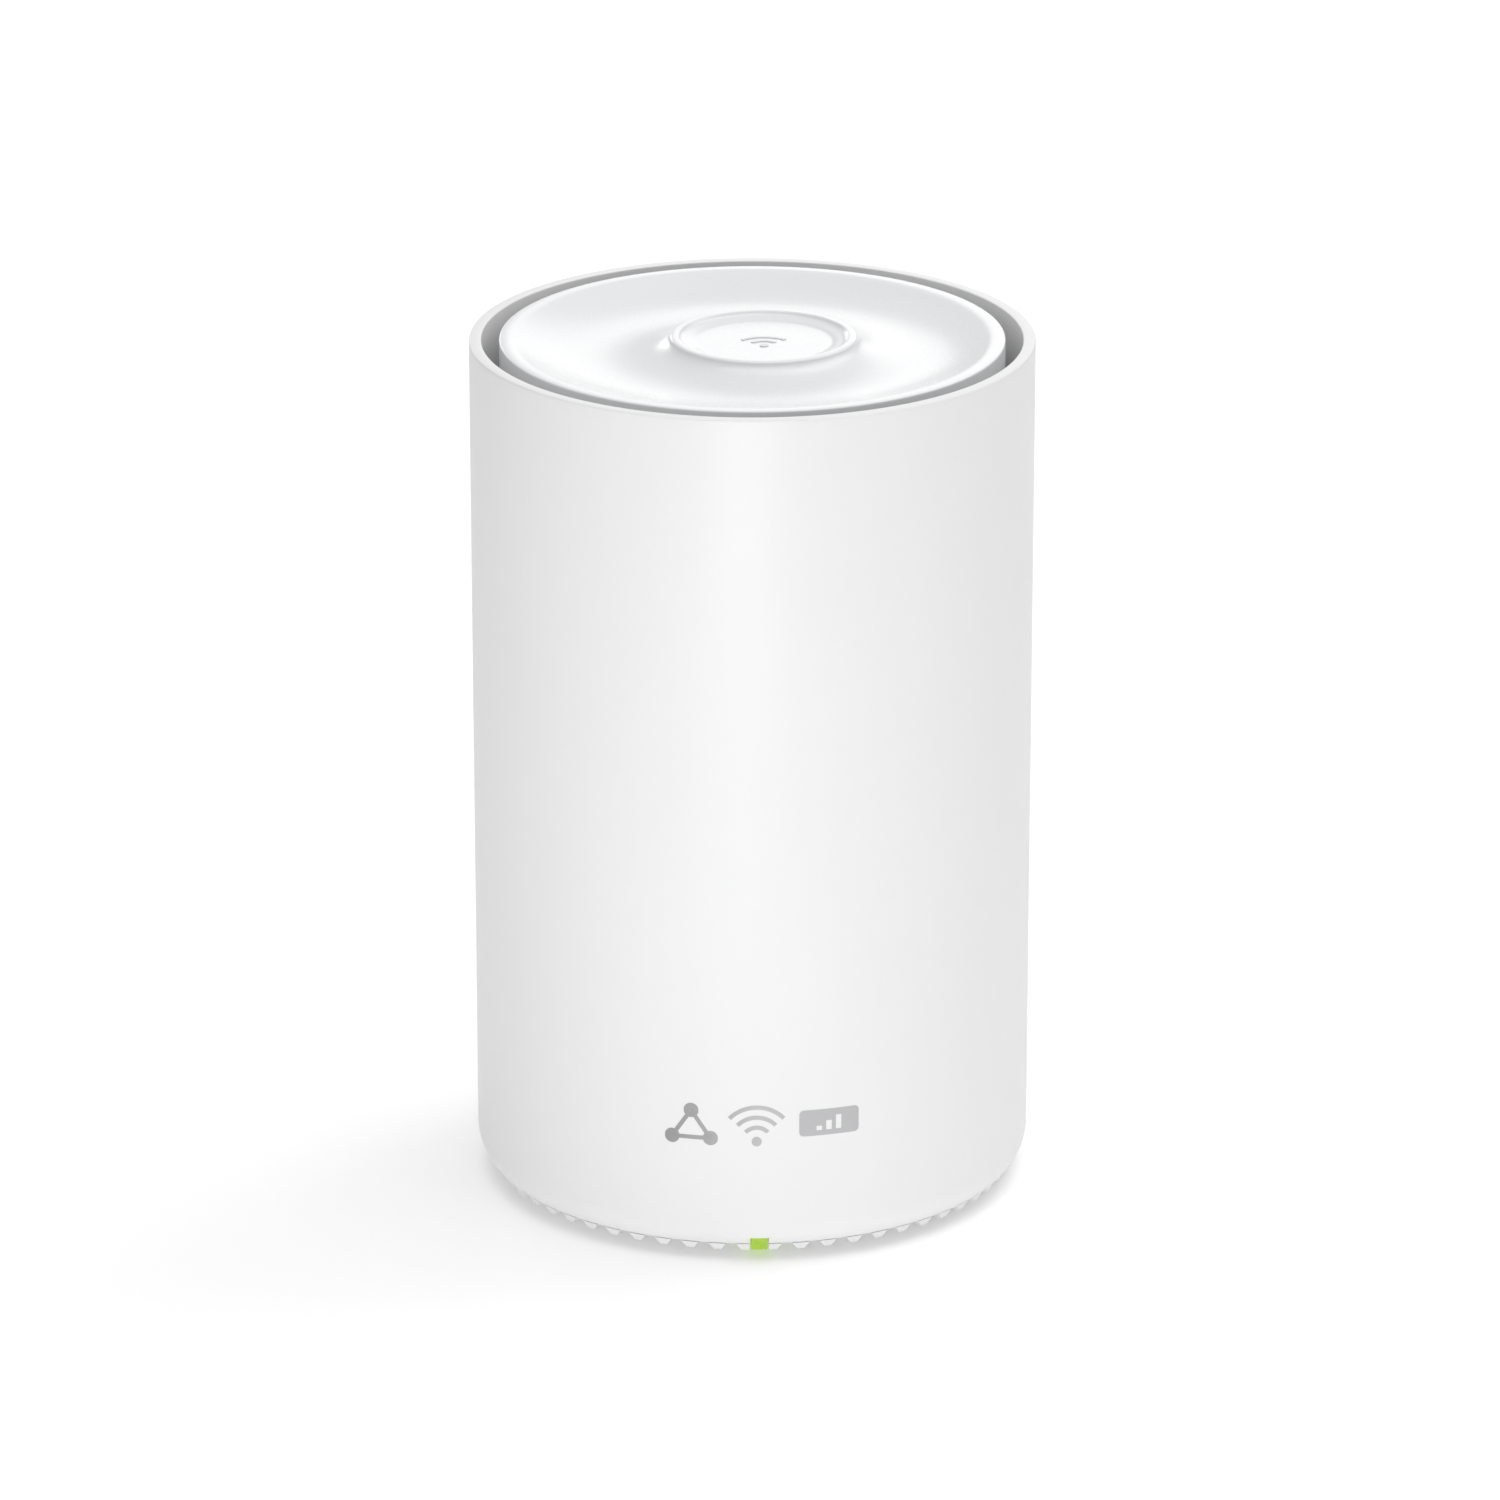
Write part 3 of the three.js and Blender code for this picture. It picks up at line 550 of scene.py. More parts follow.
def shell():
    """The sleeve, as one closed grid with a rounded window for the pocket and a notch for the light."""
    section, heights, notch_out, notch_in = shell_section()
    count, columns = len(section), 240
    step = 360 / columns
    half_window = round(WINDOW_ANGLE / step)
    turns = [step * i for i in range(columns)]  # from the rear, so that half of them is the front
    front = columns // 2
    turns[front - 1], turns[front + 1] = 180 - NOTCH_ANGLE, 180 + NOTCH_ANGLE
    verts = []
    for turn in map(math.radians, turns):
        verts += [(r * math.sin(turn), r * math.cos(turn), z) for r, z in section]

    def at(i, j):
        return i % columns * count + j % count

    window_heights = [h for h in heights if h <= BLOCK_TOP]
    outer_rows = [section.index((RADIUS, h)) for h in window_heights]
    inner_rows = [section.index((INSIDE, h)) for h in window_heights]
    window_rows = set(outer_rows[:-1]) | set(inner_rows[1:])
    notch_rows = set(range(notch_out)) | set(range(notch_in, count))
    faces = []
    for i in range(-front, front):
        for j in range(count):
            in_window = -half_window <= i < half_window and j in window_rows
            in_notch = i in (-front, front - 1) and j in notch_rows
            if not (in_window or in_notch):
                faces.append((at(i, j), at(i + 1, j), at(i + 1, j + 1), at(i, j + 1)))

    def border(rows):
        low = [at(i, rows[0]) for i in range(-half_window, half_window)]
        right = [at(half_window, j) for j in rows[:-1]]
        high = [at(i, rows[-1]) for i in range(half_window, -half_window, -1)]
        left = [at(-half_window, j) for j in reversed(rows[1:])]
        return low + right + high + left

    outside, inside = border(outer_rows), border(inner_rows)
    places = [(verts[k][0], verts[k][2]) for k in outside]

    def ring(offset, depth, radius=RADIUS, share=1.0):
        """A ring round the window: share 1 is on the outline, and 0 on the border of the grid's opening."""
        first = len(verts)
        for x, z in places:
            px, pz = Vector((x, z)).lerp(pocket_outline(x, z, offset), share)
            verts.append((px, math.sqrt(radius**2 - px**2) - depth, pz))
        return list(range(first, len(verts)))

    rings = [outside, ring(EDGE_ROUND, 0, share=0.5)]
    for turn in (math.radians(15 * k) for k in range(7)):
        rings.append(ring(EDGE_ROUND * (1 - math.sin(turn)), EDGE_ROUND * (1 - math.cos(turn))))
    rings += [ring(0, 0, INSIDE), inside]
    for near, far in zip(rings, rings[1:]):
        for k in range(len(near)):
            m = (k + 1) % len(near)
            faces.append((near[k], near[m], far[m], far[k]))

    notch_loop = [*range(notch_in, count), *range(notch_out + 1)]
    for i in (front - 1, front + 1):
        faces.append([at(i, j) for j in notch_loop])
    for i in (front - 1, front):
        faces.append((at(i, notch_in), at(i + 1, notch_in), at(i + 1, notch_out), at(i, notch_out)))
    return mesh_piece("shell_skin", (verts, faces), 40)


# ---- Top cover ----


def cover_section():
    """The cover's section, from its well over the ring and the dish to the lip, and back inside."""
    ring_top, edge = COVER_HIGH.z, COVER_HIGH.x
    floor = ring_top - WELL_DEPTH
    lip = ring_top - RING_RISE
    valley = lip - DISH_DEPTH
    well = [(2.2 * i, floor) for i in range(6)] + [(12.4, floor)]
    well += bezier([(12.4, floor), (13.2, floor), (13.4, floor + 0.02), (13.9, floor + 0.2)], 6)
    well_edge, ring_edge = (16.3, ring_top - 0.35), (18.25, ring_top - 0.4)
    wall = bezier([(13.9, floor + 0.2), (14.9, floor + 0.5), (16, ring_top - 0.9), well_edge], 7)
    crest = bezier([well_edge, (16.45, ring_top - 0.05), (16.6, ring_top), (16.9, ring_top)], 5)
    crest += bezier([(17.4, ring_top), (17.95, ring_top), (18.13, ring_top - 0.1), ring_edge], 6)
    flank = bezier([ring_edge, (18.4, ring_top - 1.5), (21.2, valley + 0.4), (29.5, valley)], 26)
    dish = bezier([(29.5, valley), (36, valley - 0.25), (41, valley + 1.2), (45.2, lip - 0.55)], 22)
    lip_in = bezier([(45.2, lip - 0.55), (46.2, lip - 0.1), (46.9, lip), (47.7, lip)], 6)
    lip_out = arc(edge - LIP_ROUND, lip - LIP_ROUND, LIP_ROUND, 90, 0, 6)
    skirt = [(edge, SKIRT_BOTTOM + 0.3), (edge - 0.3, SKIRT_BOTTOM)]
    inside, ring_under = edge - SKIRT_WALL, ring_top - 3.6
    under = [(inside, SKIRT_BOTTOM), (inside, valley), (33, valley - 2), (20, ring_under), (0, ring_under)]
    return well + wall + crest + flank + dish + lip_in + lip_out + skirt + under


def cover():
    """The dished cover, whose raised ring stands to the right of its rim's middle."""
    verts, faces = turned(cover_section(), steps=256)
    rim = COVER_HIGH.x - 2
    moved = []
    for x, y, z in verts:
        share = max(0, min(1, (rim - math.hypot(x, y)) / (rim - RING_RADIUS)))
        moved.append((x + RING_OFFSET * share**2 * (3 - 2 * share), y, z))
    return mesh_piece("cover_skin", (moved, faces), 40)


# ---- Flat signs: strips of cross-lines, each a pair of points of a drawing, on a flat or curved face ----


def on_front(x, z, lift):
    """A drawing wrapped round the front of the shell, x to the right and z up."""
    radius, turn = RADIUS + lift, x / RADIUS
    return radius * math.sin(turn), -radius * math.cos(turn), z


def slab(name, strips, place=on_front, sunk=0.02, raised=0.03):
    """Thin closed shapes on a face: place gives the point of the face under a drawing's point."""
    verts, faces = [], []
    for lines in strips:
        first = len(verts)
        for near, far in lines:
            for lift in (-sunk, raised):
                verts += [place(*near, lift), place(*far, lift)]
        for k in range(len(lines) - 1):
            a, b = first + 4 * k, first + 4 * (k + 1)
            for p, q in ((0, 1), (1, 3), (3, 2), (2, 0)):
                faces.append((a + p, a + q, b + q, b + p))
        last = len(verts) - 4
        faces += [(first, first + 2, first + 3, first + 1), (last, last + 1, last + 3, last + 2)]
    return mesh_piece(name, (verts, faces))


def stroke(points, width):
    """A line of even width through points, as cross-lines."""
    points = along(points)
    made = []
    for k, point in enumerate(points):
        before, after = Vector(points[max(0, k - 1)]), Vector(points[min(len(points) - 1, k + 1)])
        direction = (after - before).normalized()
        side = Vector((-direction.y, direction.x)) * width / 2
        made.append((tuple(Vector(point) - side), tuple(Vector(point) + side)))
    return made


def disc(cx, cz, radius):
    """A round dot as cross-lines."""
    made = []
    for turn in (math.radians(15 * i) for i in range(1, 12)):
        x, reach = cx - radius * math.cos(turn), radius * math.sin(turn)
        made.append(((x, cz - reach), (x, cz + reach)))
    return made


def rounded_bar(cx, cz, half_width, half_height, corner):
    """A rounded rectangle as upright cross-lines."""
    xs = [half_width - corner + corner * math.sin(math.radians(9 * i)) for i in range(11)]
    flat = [(half_width - corner) * i / 4 for i in range(-3, 4)]
    lines = []
    for x in [-v for v in reversed(xs)] + flat + xs:
        over = max(0, abs(x) - half_width + corner)
        height = half_height - corner + math.sqrt(max(0, corner**2 - over**2))
        lines.append(((cx + x, cz - height), (cx + x, cz + height)))
    return lines[1:-1] if corner == half_height else lines


def frame_line(cx, cz, half_width, half_height, width):
    """The outline of a rectangle as four strokes that meet square."""
    left, right, low, high = cx - half_width, cx + half_width, cz - half_height, cz + half_height
    reach = width / 2
    level = [stroke([(left - reach, z), (right + reach, z)], width) for z in (low, high)]
    return level + [stroke([(x, low + reach), (x, high - reach)], width) for x in (left, right)]


def waves(cx, cz, radii, width):
    """Radio waves: arcs over a dot."""
    return [stroke(arc(cx, cz, r, 42, 138, 16), width) for r in radii]


def front_marks():
    """Plain signs low on the front: three linked dots, radio waves, and a badge with signal bars."""
    z, line = MARKS_HEIGHT, 0.85
    dots = [(-17.2, z - 2.6), (-9.6, z - 2.6), (-13.4, z + 3)]
    signs = [disc(x, y, 1.5) for x, y in dots]
    signs += [stroke([dots[a], dots[b]], line) for a, b in ((0, 1), (1, 2), (2, 0))]
    signs.append(disc(-0.6, z - 3.1, 1))
    signs += waves(-0.6, z - 3.1, (2.9, 5, 7.1), line)
    settle(slab("front_marks", signs), FRONT_PRINT)
    settle(slab("front_badge", [rounded_bar(13.7, z + 0.3, 6, 2.7, 0.9)]), BADGE)
    bars = []
    for i, x in enumerate((11.1, 13.05, 15)):
        low, high = z - 1.3, z - 0.4 + i
        bars.append([((x, low), (x, high)), ((x + 1.1, low), (x + 1.1, high))])
    settle(slab("badge_bars", bars, sunk=-0.02, raised=0.05), WHITE)


def cover_mark():
    """Plain radio waves, raised on the floor of the cover's well. Their grey is painted shade: the mark is
    the cover's own white, darkened to stand in for the shading of its relief.
    """
    floor = COVER_HIGH.z - WELL_DEPTH

    def on_well(x, y, lift):
        return RING_OFFSET + x, y - 3, floor + lift

    signs = [disc(0, 0, 0.9), *waves(0, 0, (3, 5.6), 0.8)]
    settle(slab("cover_mark", signs, on_well, 0.05, 0.15), MARK_PAINTED_SHADE)


# ---- Foot ----

FOOT_NAMES = [f"rubber_foot_{i}" for i in (1, 2, 3, 4)]


def ribbed_outline(tip_radius, half_angle):
    """The bottom plate's outline: ribs all round it, with an air slot between every two."""
    points = []
    for i in range(RIB_COUNT):
        middle_angle = (i + 0.5) * 360 / RIB_COUNT
        for radius, side in ((RIB_ROOT, -1), (tip_radius, -1), (tip_radius, 1), (RIB_ROOT, 1)):
            turn = math.radians(middle_angle + side * half_angle)
            points.append((radius * math.cos(turn), radius * math.sin(turn)))
    return points


def base():
    """The ribbed bottom plate, with its ring, foot bosses, label recess, light channel and button hole."""
    low_outline = ribbed_outline(RIB_LOW_TIP, RIB_LOW_HALF)
    high_outline = ribbed_outline(RIB_HIGH_TIP, RIB_HIGH_HALF)
    plate = loft([(low_outline, BASE_UNDER), (high_outline, BASE_TOP)])
    inner, outer, top = BASE_RING
    ring = [(inner, BASE_TOP - 0.4), (outer, BASE_TOP - 0.4), (outer, top - 0.3)]
    ring += [(outer - 0.3, top), (inner + 0.3, top), (inner, top - 0.3)]
    joined, cut = [turned(ring, steps=192)], []
    for name in FOOT_NAMES:
        x, y, _ = middle(name)
        joined.append(rod(BOSS_RADIUS, BASE_UNDER + 0.5, BOSS_TOP, x, y))
        cut += [rod(radius, 0, height, x, y) for radius, height in FOOT_HOLES]
    low, high = extent("light_guide")
    channel_low = (low.x - SOCKET_GAP, -53, 0)
    cut.append(block(channel_low, (high.x + SOCKET_GAP, high.y + SOCKET_GAP, NOTCH_TOP), 0.2, "Y"))
    cut.append(prism(rounded(0, 0, 25.5, 13.5, 2), 0, BASE_UNDER + 0.6))
    cut.append(rod(2.3, 0, 4, 0, middle("reset_button").y))
    cut.append(block((-36, 25, 9.1), (36, 56, 17), 1))  # room for the pocket
    groove_top = BASE_UNDER + 0.25
    cut.append(turned([(38.2, 0), (38.9, 0), (38.9, groove_top), (38.2, groove_top)], steps=128))
    piece = carved("base_skin", plate, joined, cut, soften=0.18)
    settle(piece, WHITE, replaces=["base_tray"])


def foot(name):
    """A rubber foot with two grooves in its tread."""
    x, y, _ = middle(name)
    low, high = extent(name)
    radius, depth = high.x - x, 0.3
    tread = []
    for near, far in ((2, 2.7), (3.7, 4.4)):
        tread += [(near, 0), (near + 0.1, depth), (far - 0.1, depth), (far, 0)]
    edge = arc(radius - 0.5, 0.5, 0.5, -90, 0, 6)
    profile = [(0, 0), *tread, *edge, (radius, high.z - 0.1), (radius - 0.1, high.z), (0, high.z)]
    piece = mesh_piece(f"{name}_tread", turned(profile, x, y, low.z, steps=72), 30)
    settle(piece, FOOT_RUBBER, replaces=[name])


def label():
    """A blank label with a printed frame and empty fields."""
    low, high = extent("label_plate")
    plate = prism(rounded(0, 0, high.x, high.y, 1.8), low.z, high.z)
    settle(carved("blank_label", plate, soften=0.04, segments=1), LABEL, replaces=["label_plate"])

    def under(x, y, lift):
        return x, y, low.z - lift

    fields = frame_line(0, 0, high.x - 1.6, high.y - 1.6, 0.35)
    fields += [stroke([(-22, 3.4), (22, 3.4)], 0.3), stroke([(-4, -10.2), (-4, 2.6)], 0.3)]
    for x in (-18.4, -9.8):
        for y in (-0.4, -6.8):
            fields += frame_line(x, y, 3, 2, 0.25)
    fields += [rounded_bar(9.5, y, 10.5, 0.5, 0.4) for y in (-0.6, -3.4, -6.2, -9)]
    fields += [rounded_bar(-10, 7.4, 10.5, 0.8, 0.6), rounded_bar(13.5, 7.4, 6.5, 0.8, 0.6)]
    settle(slab("label_fields", fields, under, 0.01, 0.015), PRINT)


def light_guide():
    """The clear guide: a window that follows the shell, a bar inwards and a leg up to the lamp."""
    low, high = extent("light_guide")
    leg_front, bar_top = high.y - 3.2, 4.6
    face = arc(low.y + 0.5, bar_top - 0.5, 0.5, 180, 90, 4)
    face += arc(leg_front - 0.5, bar_top + 0.5, 0.5, -90, 0, 4)
    outline = [(high.y, low.z), (high.y, high.z), (leg_front, high.z), *reversed(face), (low.y, low.z)]
    piece = carved("light_window", prism(outline, low.x, high.x, "X"), soften=0.22, segments=3)
    settle(piece, GREEN_LENS, replaces=["light_guide"])


def reset_button():
    """A button with a dished end, a flange that keeps it in, and its stem."""
    low, high = extent("reset_button")
    x, y, _ = middle("reset_button")
    dish = [(0, low.z + 0.3), (0.7, low.z + 0.26), (1.3, low.z + 0.12), (1.6, low.z)]
    edge = arc(1.75, low.z + 0.25, 0.25, -90, 0, 4)
    profile = [*dish, *edge, (2, 3.3), (3.1, 3.3), (3.2, 3.4), (3.2, 4.8), (3.1, 4.9), (1.7, 4.9)]
    profile += [(1.7, high.z - 0.2), (1.5, high.z), (0, high.z)]
    piece = mesh_piece("reset_cap", turned(profile, x, y, steps=64), 30)
    settle(piece, GREY, "reset_button", ["reset_button"])


# ---- Socket pocket ----

NETWORK_SHIELDS = [f"rj45_shield_{i}" for i in (1, 2, 3)]
AERIAL_SIDES = ("left", "right")


def panel():
    """The pocket: its flat back, its walls out to the shell, and an opening for each socket."""
    middle_height = (POCKET_BOTTOM + POCKET_TOP) / 2
    half_height = (POCKET_TOP - POCKET_BOTTOM) / 2

    def outline(grown):
        half_width = POCKET_HALF_WIDTH + grown
        return rounded(0, middle_height, half_width, half_height + grown, POCKET_CORNER + grown, 12)

    back = PANEL_LOW.y
    cut = [prism(outline(0), POCKET_FACE, PAST_SHELL, "Y")]
    for node in (*NETWORK_SHIELDS, "dc_jack_body"):
        low, high = extent(node)
        hole_low = (low.x - SOCKET_GAP, back - 1, low.z - SOCKET_GAP)
        cut.append(block(hole_low, (high.x + SOCKET_GAP, PAST_SHELL, high.z + SOCKET_GAP), 0.6, "Y"))
    for side in AERIAL_SIDES:
        centre = middle(f"sma_jack_{side}")
        cut.append(rod(BARREL_RADIUS + SOCKET_GAP, back - 1, POCKET_FACE + 1, centre.x, centre.z, "Y"))
        groove_floor, groove_top = POCKET_FACE - 0.35, POCKET_FACE + 0.8
        groove = [(5.6, groove_floor), (6, groove_floor), (6, groove_top), (5.6, groove_top)]
        cut.append(turned(groove, centre.x, 0, centre.z, "Y"))
    slot = middle("sim_card").z
    cut.append(prism(rounded(0, slot, 4.9, 0.8, 0.75), back - 1, POCKET_FACE + 1, "Y"))  # for the card
    dome, sides = turned([(0, 0), *arc(0, 0, 5, 0, 90, 12)[:-1], (0, 5)], axis="Y")
    scoop = [(x * 1.1, POCKET_FACE + 0.01 - y * 0.24, slot + z) for x, y, z in dome]
    cut.append((scoop, sides))
    kept = [rod(INSIDE - SOCKET_GAP, 0, PAST_SHELL, 0, 0, sides=192)]
    pocket = prism(outline(POCKET_WALL), back, 56, "Y")
    piece = carved("socket_pocket", pocket, cut=cut, kept=kept, soften=0.2)
    settle(piece, WHITE, replaces=["port_panel"])


def pocket_signs():
    """Plain printed signs over the sockets: linked boxes, a power circle and a card."""

    def on_panel(x, z, lift):
        return -x, POCKET_FACE + lift, z

    line, signs = 0.35, []
    network_z, power_z, card_z = 32.4, 29.4, 46.3
    for node in NETWORK_SHIELDS:
        x, z = -middle(node).x, network_z
        signs += frame_line(x, z + 1.3, 1, 0.7, line)
        signs += frame_line(x - 2, z - 1.4, 0.9, 0.6, line) + frame_line(x + 2, z - 1.4, 0.9, 0.6, line)
        signs += [stroke([(x, z + 0.45), (x, z)], line), stroke([(x - 2, z), (x + 2, z)], line)]
        signs += [stroke([(x + shift, z), (x + shift, z - 0.65)], line) for shift in (-2, 2)]
    power_x = -middle("dc_jack_body").x
    signs.append(stroke(arc(power_x, power_z, 1.5, 120, 420, 24), line))
    signs.append(stroke([(power_x, power_z + 0.3), (power_x, power_z + 2)], line))
    card = [(-1.2, -1.6), (-1.2, 1.6), (0.5, 1.6), (1.2, 0.9), (1.2, -1.6), (-1.2, -1.6)]
    signs.append(stroke([(x, card_z + z) for x, z in card], line))
    settle(slab("pocket_signs", signs, on_panel, 0.01, 0.02), PRINT)


def network_mouth(number):
    """The middle, the rear end and the floor of a network socket's can."""
    node = f"rj45_shield_{number}"
    low, high = extent(node)
    return middle(node).x, high.y, low.z


def network_can(number):
    """A socket's sheet-metal can: its square mouth, the slits in its top and two spring tongues."""
    node, sheet = f"rj45_shield_{number}", 0.4
    x, mouth, floor = network_mouth(number)
    low, high = extent(node)
    inside_low = (low.x + sheet, low.y + sheet, low.z - 1)
    inside = block(inside_low, (high.x - sheet, mouth - sheet, high.z - sheet), 0.3)
    hole = prism(rounded(x, floor + 6.4, 6.1, 5, 0.5, 5), mouth - 2, mouth + 1, "Y")
    slits, tongues = [], []
    for cx in (x - 5, x - 2.6, x + 2.6, x + 5):
        slits.append(block((cx - 0.3, mouth - 4, high.z - 2), (cx + 0.3, mouth - 1.2, high.z + 1)))
    for cx in (x - 3.8, x + 3.8):
        tongue_low = (cx - 1.1, mouth - 3.6, high.z - 0.1)
        tongues.append(block(tongue_low, (cx + 1.1, mouth - 1.2, high.z + 0.2), 0.15, "X"))
    outside, cut = block(low, high, 0.5), [inside, hole, *slits]
    can = carved(f"network_can_{number}", outside, joined=tongues, cut=cut, soften=0.12)
    settle(can, STEEL, replaces=[node])


def network_insert(number):
    """A socket's moulded insert: a stepped hole for the plug, and two lamps below it."""
    node = f"rj45_insert_{number}"
    x, mouth, floor = network_mouth(number)
    low, high = extent(node)
    plug = block((x - 5.9, low.y + 2, floor + 3.7), (x + 5.9, mouth + 1, floor + 10.9), 0.3, "Y")
    latch = block((x - 3.1, low.y + 4, floor + 2.2), (x + 3.1, mouth + 1, floor + 4), 0.2, "Y")
    notch = block((x - 1.6, low.y + 4, floor + 1.6), (x + 1.6, mouth + 1, floor + 3), 0.2, "Y")
    cut, lamps, lamp_z = [plug, latch, notch], [], floor + 2.4
    for cx in (x - 4.75, x + 4.75):
        cut.append(prism(rounded(cx, lamp_z, 1.1, 0.75, 0.3, 4), high.y - 1, mouth + 1, "Y"))
        lamps.append(prism(rounded(cx, lamp_z, 1, 0.65, 0.25, 4), high.y - 0.95, high.y + 0.1, "Y"))
    insert = carved(f"network_insert_{number}", block(low, high, 0.2), cut=cut, soften=0.15)
    settle(insert, BLACK, replaces=[node])
    settle(mesh_piece(f"network_lamps_{number}", together(lamps)), DARK_LAMP)


def network_contacts(number):
    """A socket's eight contacts: flat wires that slope down into the hole."""
    x, _, floor = network_mouth(number)
    _, high = extent(f"rj45_insert_{number}")
    front, back = high.y - 1.6, high.y - 10.5
    top, tip = floor + 10.85, floor + 7.6
    spring = [(front, top), (front - 0.5, top), (back, tip), (back - 0.5, tip + 0.3), (back - 0.5, tip)]
    spring += [(back - 0.1, tip - 0.32), (front - 0.4, top - 0.35), (front, top - 0.35)]
    contacts, pitch, half_width = [], 1.02, 0.23
    for k in range(8):
        cx = x + (k - 3.5) * pitch
        contacts.append(prism(spring, cx - half_width, cx + half_width, "X"))
    settle(mesh_piece(f"network_contacts_{number}", together(contacts)), GOLD)


def power_socket():
    """A barrel socket: a moulded body with a flared round bore, and a slotted pin with a round nose."""
    low, high = extent("dc_jack_body")
    pin_low, pin_high = extent("dc_jack_pin")
    pin = (pin_low + pin_high) / 2
    bore, mouth = 3.15, high.y
    flare = [(0, mouth - 0.7), (bore, mouth - 0.7), (bore + 0.8, mouth + 0.1), (0, mouth + 0.1)]
    cut = [rod(bore, mouth - 10, mouth + 1, pin.x, pin.z, "Y"), turned(flare, pin.x, 0, pin.z, "Y")]
    cut.append(rod(1.3, low.y + 0.6, mouth - 9, pin.x, pin.z, "Y"))
    body = carved("power_body", block(low, high, 0.5, "Y"), cut=cut, soften=0.15)
    settle(body, BLACK, replaces=["dc_jack_body"])

    radius = pin_high.x - pin.x
    nose = arc(0, pin_high.y - radius * 0.7, radius, 45, 90, 6)
    profile = [(0, pin_low.y), (radius, pin_low.y), (radius, pin_high.y - radius * 0.8)]
    profile += [*nose[:-1], (0, pin_high.y)]
    slot = block((pin.x - 0.14, pin_high.y - 3.6, pin.z - 2), (pin.x + 0.14, pin_high.y + 1, pin.z + 2), 0.05)
    whole_pin = turned(profile, pin.x, 0, pin.z, "Y", 48)
    slotted = carved("power_pin", whole_pin, cut=[slot], soften=0.06, segments=1)
    settle(slotted, SPRING_STEEL, replaces=["dc_jack_pin"])

    leaf = [(mouth - 1.2, 2.95), (mouth - 2.2, 2.35), (mouth - 8, 2.9), (mouth - 8, 3.05), (mouth - 1.2, 3.1)]
    spring = prism([(y, pin.z - z) for y, z in leaf], pin.x - 0.8, pin.x + 0.8, "X")
    settle(mesh_piece("power_spring", spring), SPRING_STEEL)


def aerial_barrel(side):
    """An aerial socket's threaded barrel, with its insulator and its centre contact."""
    node = f"sma_jack_{side}"
    low, high = extent(node)
    x, _, z = middle(node)
    barrel, tip, shoulder = BARREL_RADIUS, high.y, PANEL_LOW.y - SOCKET_GAP
    profile = [(0, low.y), (2, low.y), (2, shoulder - 2.4), (4.2, shoulder - 2.4), (4.2, shoulder)]
    profile.append((barrel, shoulder))
    pitch, depth, start = 0.75, 0.28, 36.6
    for k in range(int((tip - 0.6 - start) / pitch)):
        at = start + k * pitch
        profile += [(barrel, at), (barrel, at + 0.12)]
        profile += [(barrel - depth, at + pitch / 2), (barrel, at + pitch - 0.12)]
    profile += [(barrel - 0.4, tip), (2.5, tip), (2.3, tip - 0.2), (2.3, tip - 4), (0, tip - 4)]
    screw = mesh_piece(f"aerial_barrel_{side}", turned(profile, x, 0, z, "Y", 72), 25)
    settle(screw, GOLD, replaces=[node])
    sleeve = [(2.2, tip - 3.9), (2.2, tip - 1.5), (0.75, tip - 1.5), (0.75, tip - 3.9)]
    insulator = mesh_piece(f"aerial_insulator_{side}", turned(sleeve, x, 0, z, "Y", 48))
    settle(insulator, NATURAL)
    tube = [(0.68, tip - 3.8), (0.68, tip - 0.9), (0.6, tip - 0.8), (0.4, tip - 0.8), (0.4, tip - 3.8)]
    settle(mesh_piece(f"aerial_contact_{side}", turned(tube, x, 0, z, "Y", 32)), GOLD)


def aerial_nut(side):
    """An aerial socket's hexagonal nut, with its corners turned off."""
    node = f"sma_nut_{side}"
    low, high = extent(node)
    x, _, z = middle(f"sma_jack_{side}")
    size = high - low
    corner, start = max((size.z / 2, 90), (size.x / 2, 0))  # a corner is on the longer side's middle
    hexagon = arc(x, z, corner, start, start + 360, 6)[:-1]
    bevelled = [(0, low.y), (corner - 0.6, low.y), (corner + 0.1, low.y + 0.45)]
    bevelled += [(corner + 0.1, high.y - 0.45), (corner - 0.6, high.y), (0, high.y)]
    block_shape = prism(hexagon, low.y, high.y, "Y")
    hole = rod(BARREL_RADIUS + 0.3, low.y - 1, high.y + 1, x, z, "Y")
    kept = [turned(bevelled, x, 0, z, "Y")]
    nut = carved(f"aerial_nut_{side}", block_shape, cut=[hole], kept=kept, soften=0.05, segments=1)
    settle(nut, GOLD, replaces=[node])


def aerial_cap(side):
    """The push-on cap of an aerial socket: fluted at its middle, rounded at its end, and hollow."""
    node, flutes = f"sma_cap_{side}", 20
    low, high = extent(node)
    x, _, z = middle(f"sma_jack_{side}")
    radius = high.x - x
    levels = [(low.y, 0.25, 0), (low.y + 0.3, 0, 0), (low.y + 0.9, 0, 0), (low.y + 1.3, 0, 1)]
    levels += [(high.y - 2, 0, 1), (high.y - 1.6, 0, 0)]
    for turn in map(math.radians, (0, 22, 45, 67, 90)):
        levels.append((high.y - 0.9 + 0.9 * math.sin(turn), 0.9 * (1 - math.cos(turn)), 0))
    sections = []
    for height, inset, fluted in levels:
        outline = []
        for k in range(flutes * 6):
            turn = 2 * math.pi * k / (flutes * 6)
            reach = radius - inset - fluted * 0.22 * (0.5 - 0.5 * math.cos(flutes * turn))
            outline.append((x + reach * math.cos(turn), z + reach * math.sin(turn)))
        sections.append((outline, height))
    hollow = rod(BARREL_RADIUS + 0.3, low.y - 1, high.y - 1.2, x, z, "Y")
    cap = carved(f"aerial_cap_{side}", loft(sections, "Y"), cut=[hollow])
    settle(cap, CAP_RUBBER, node, [node])


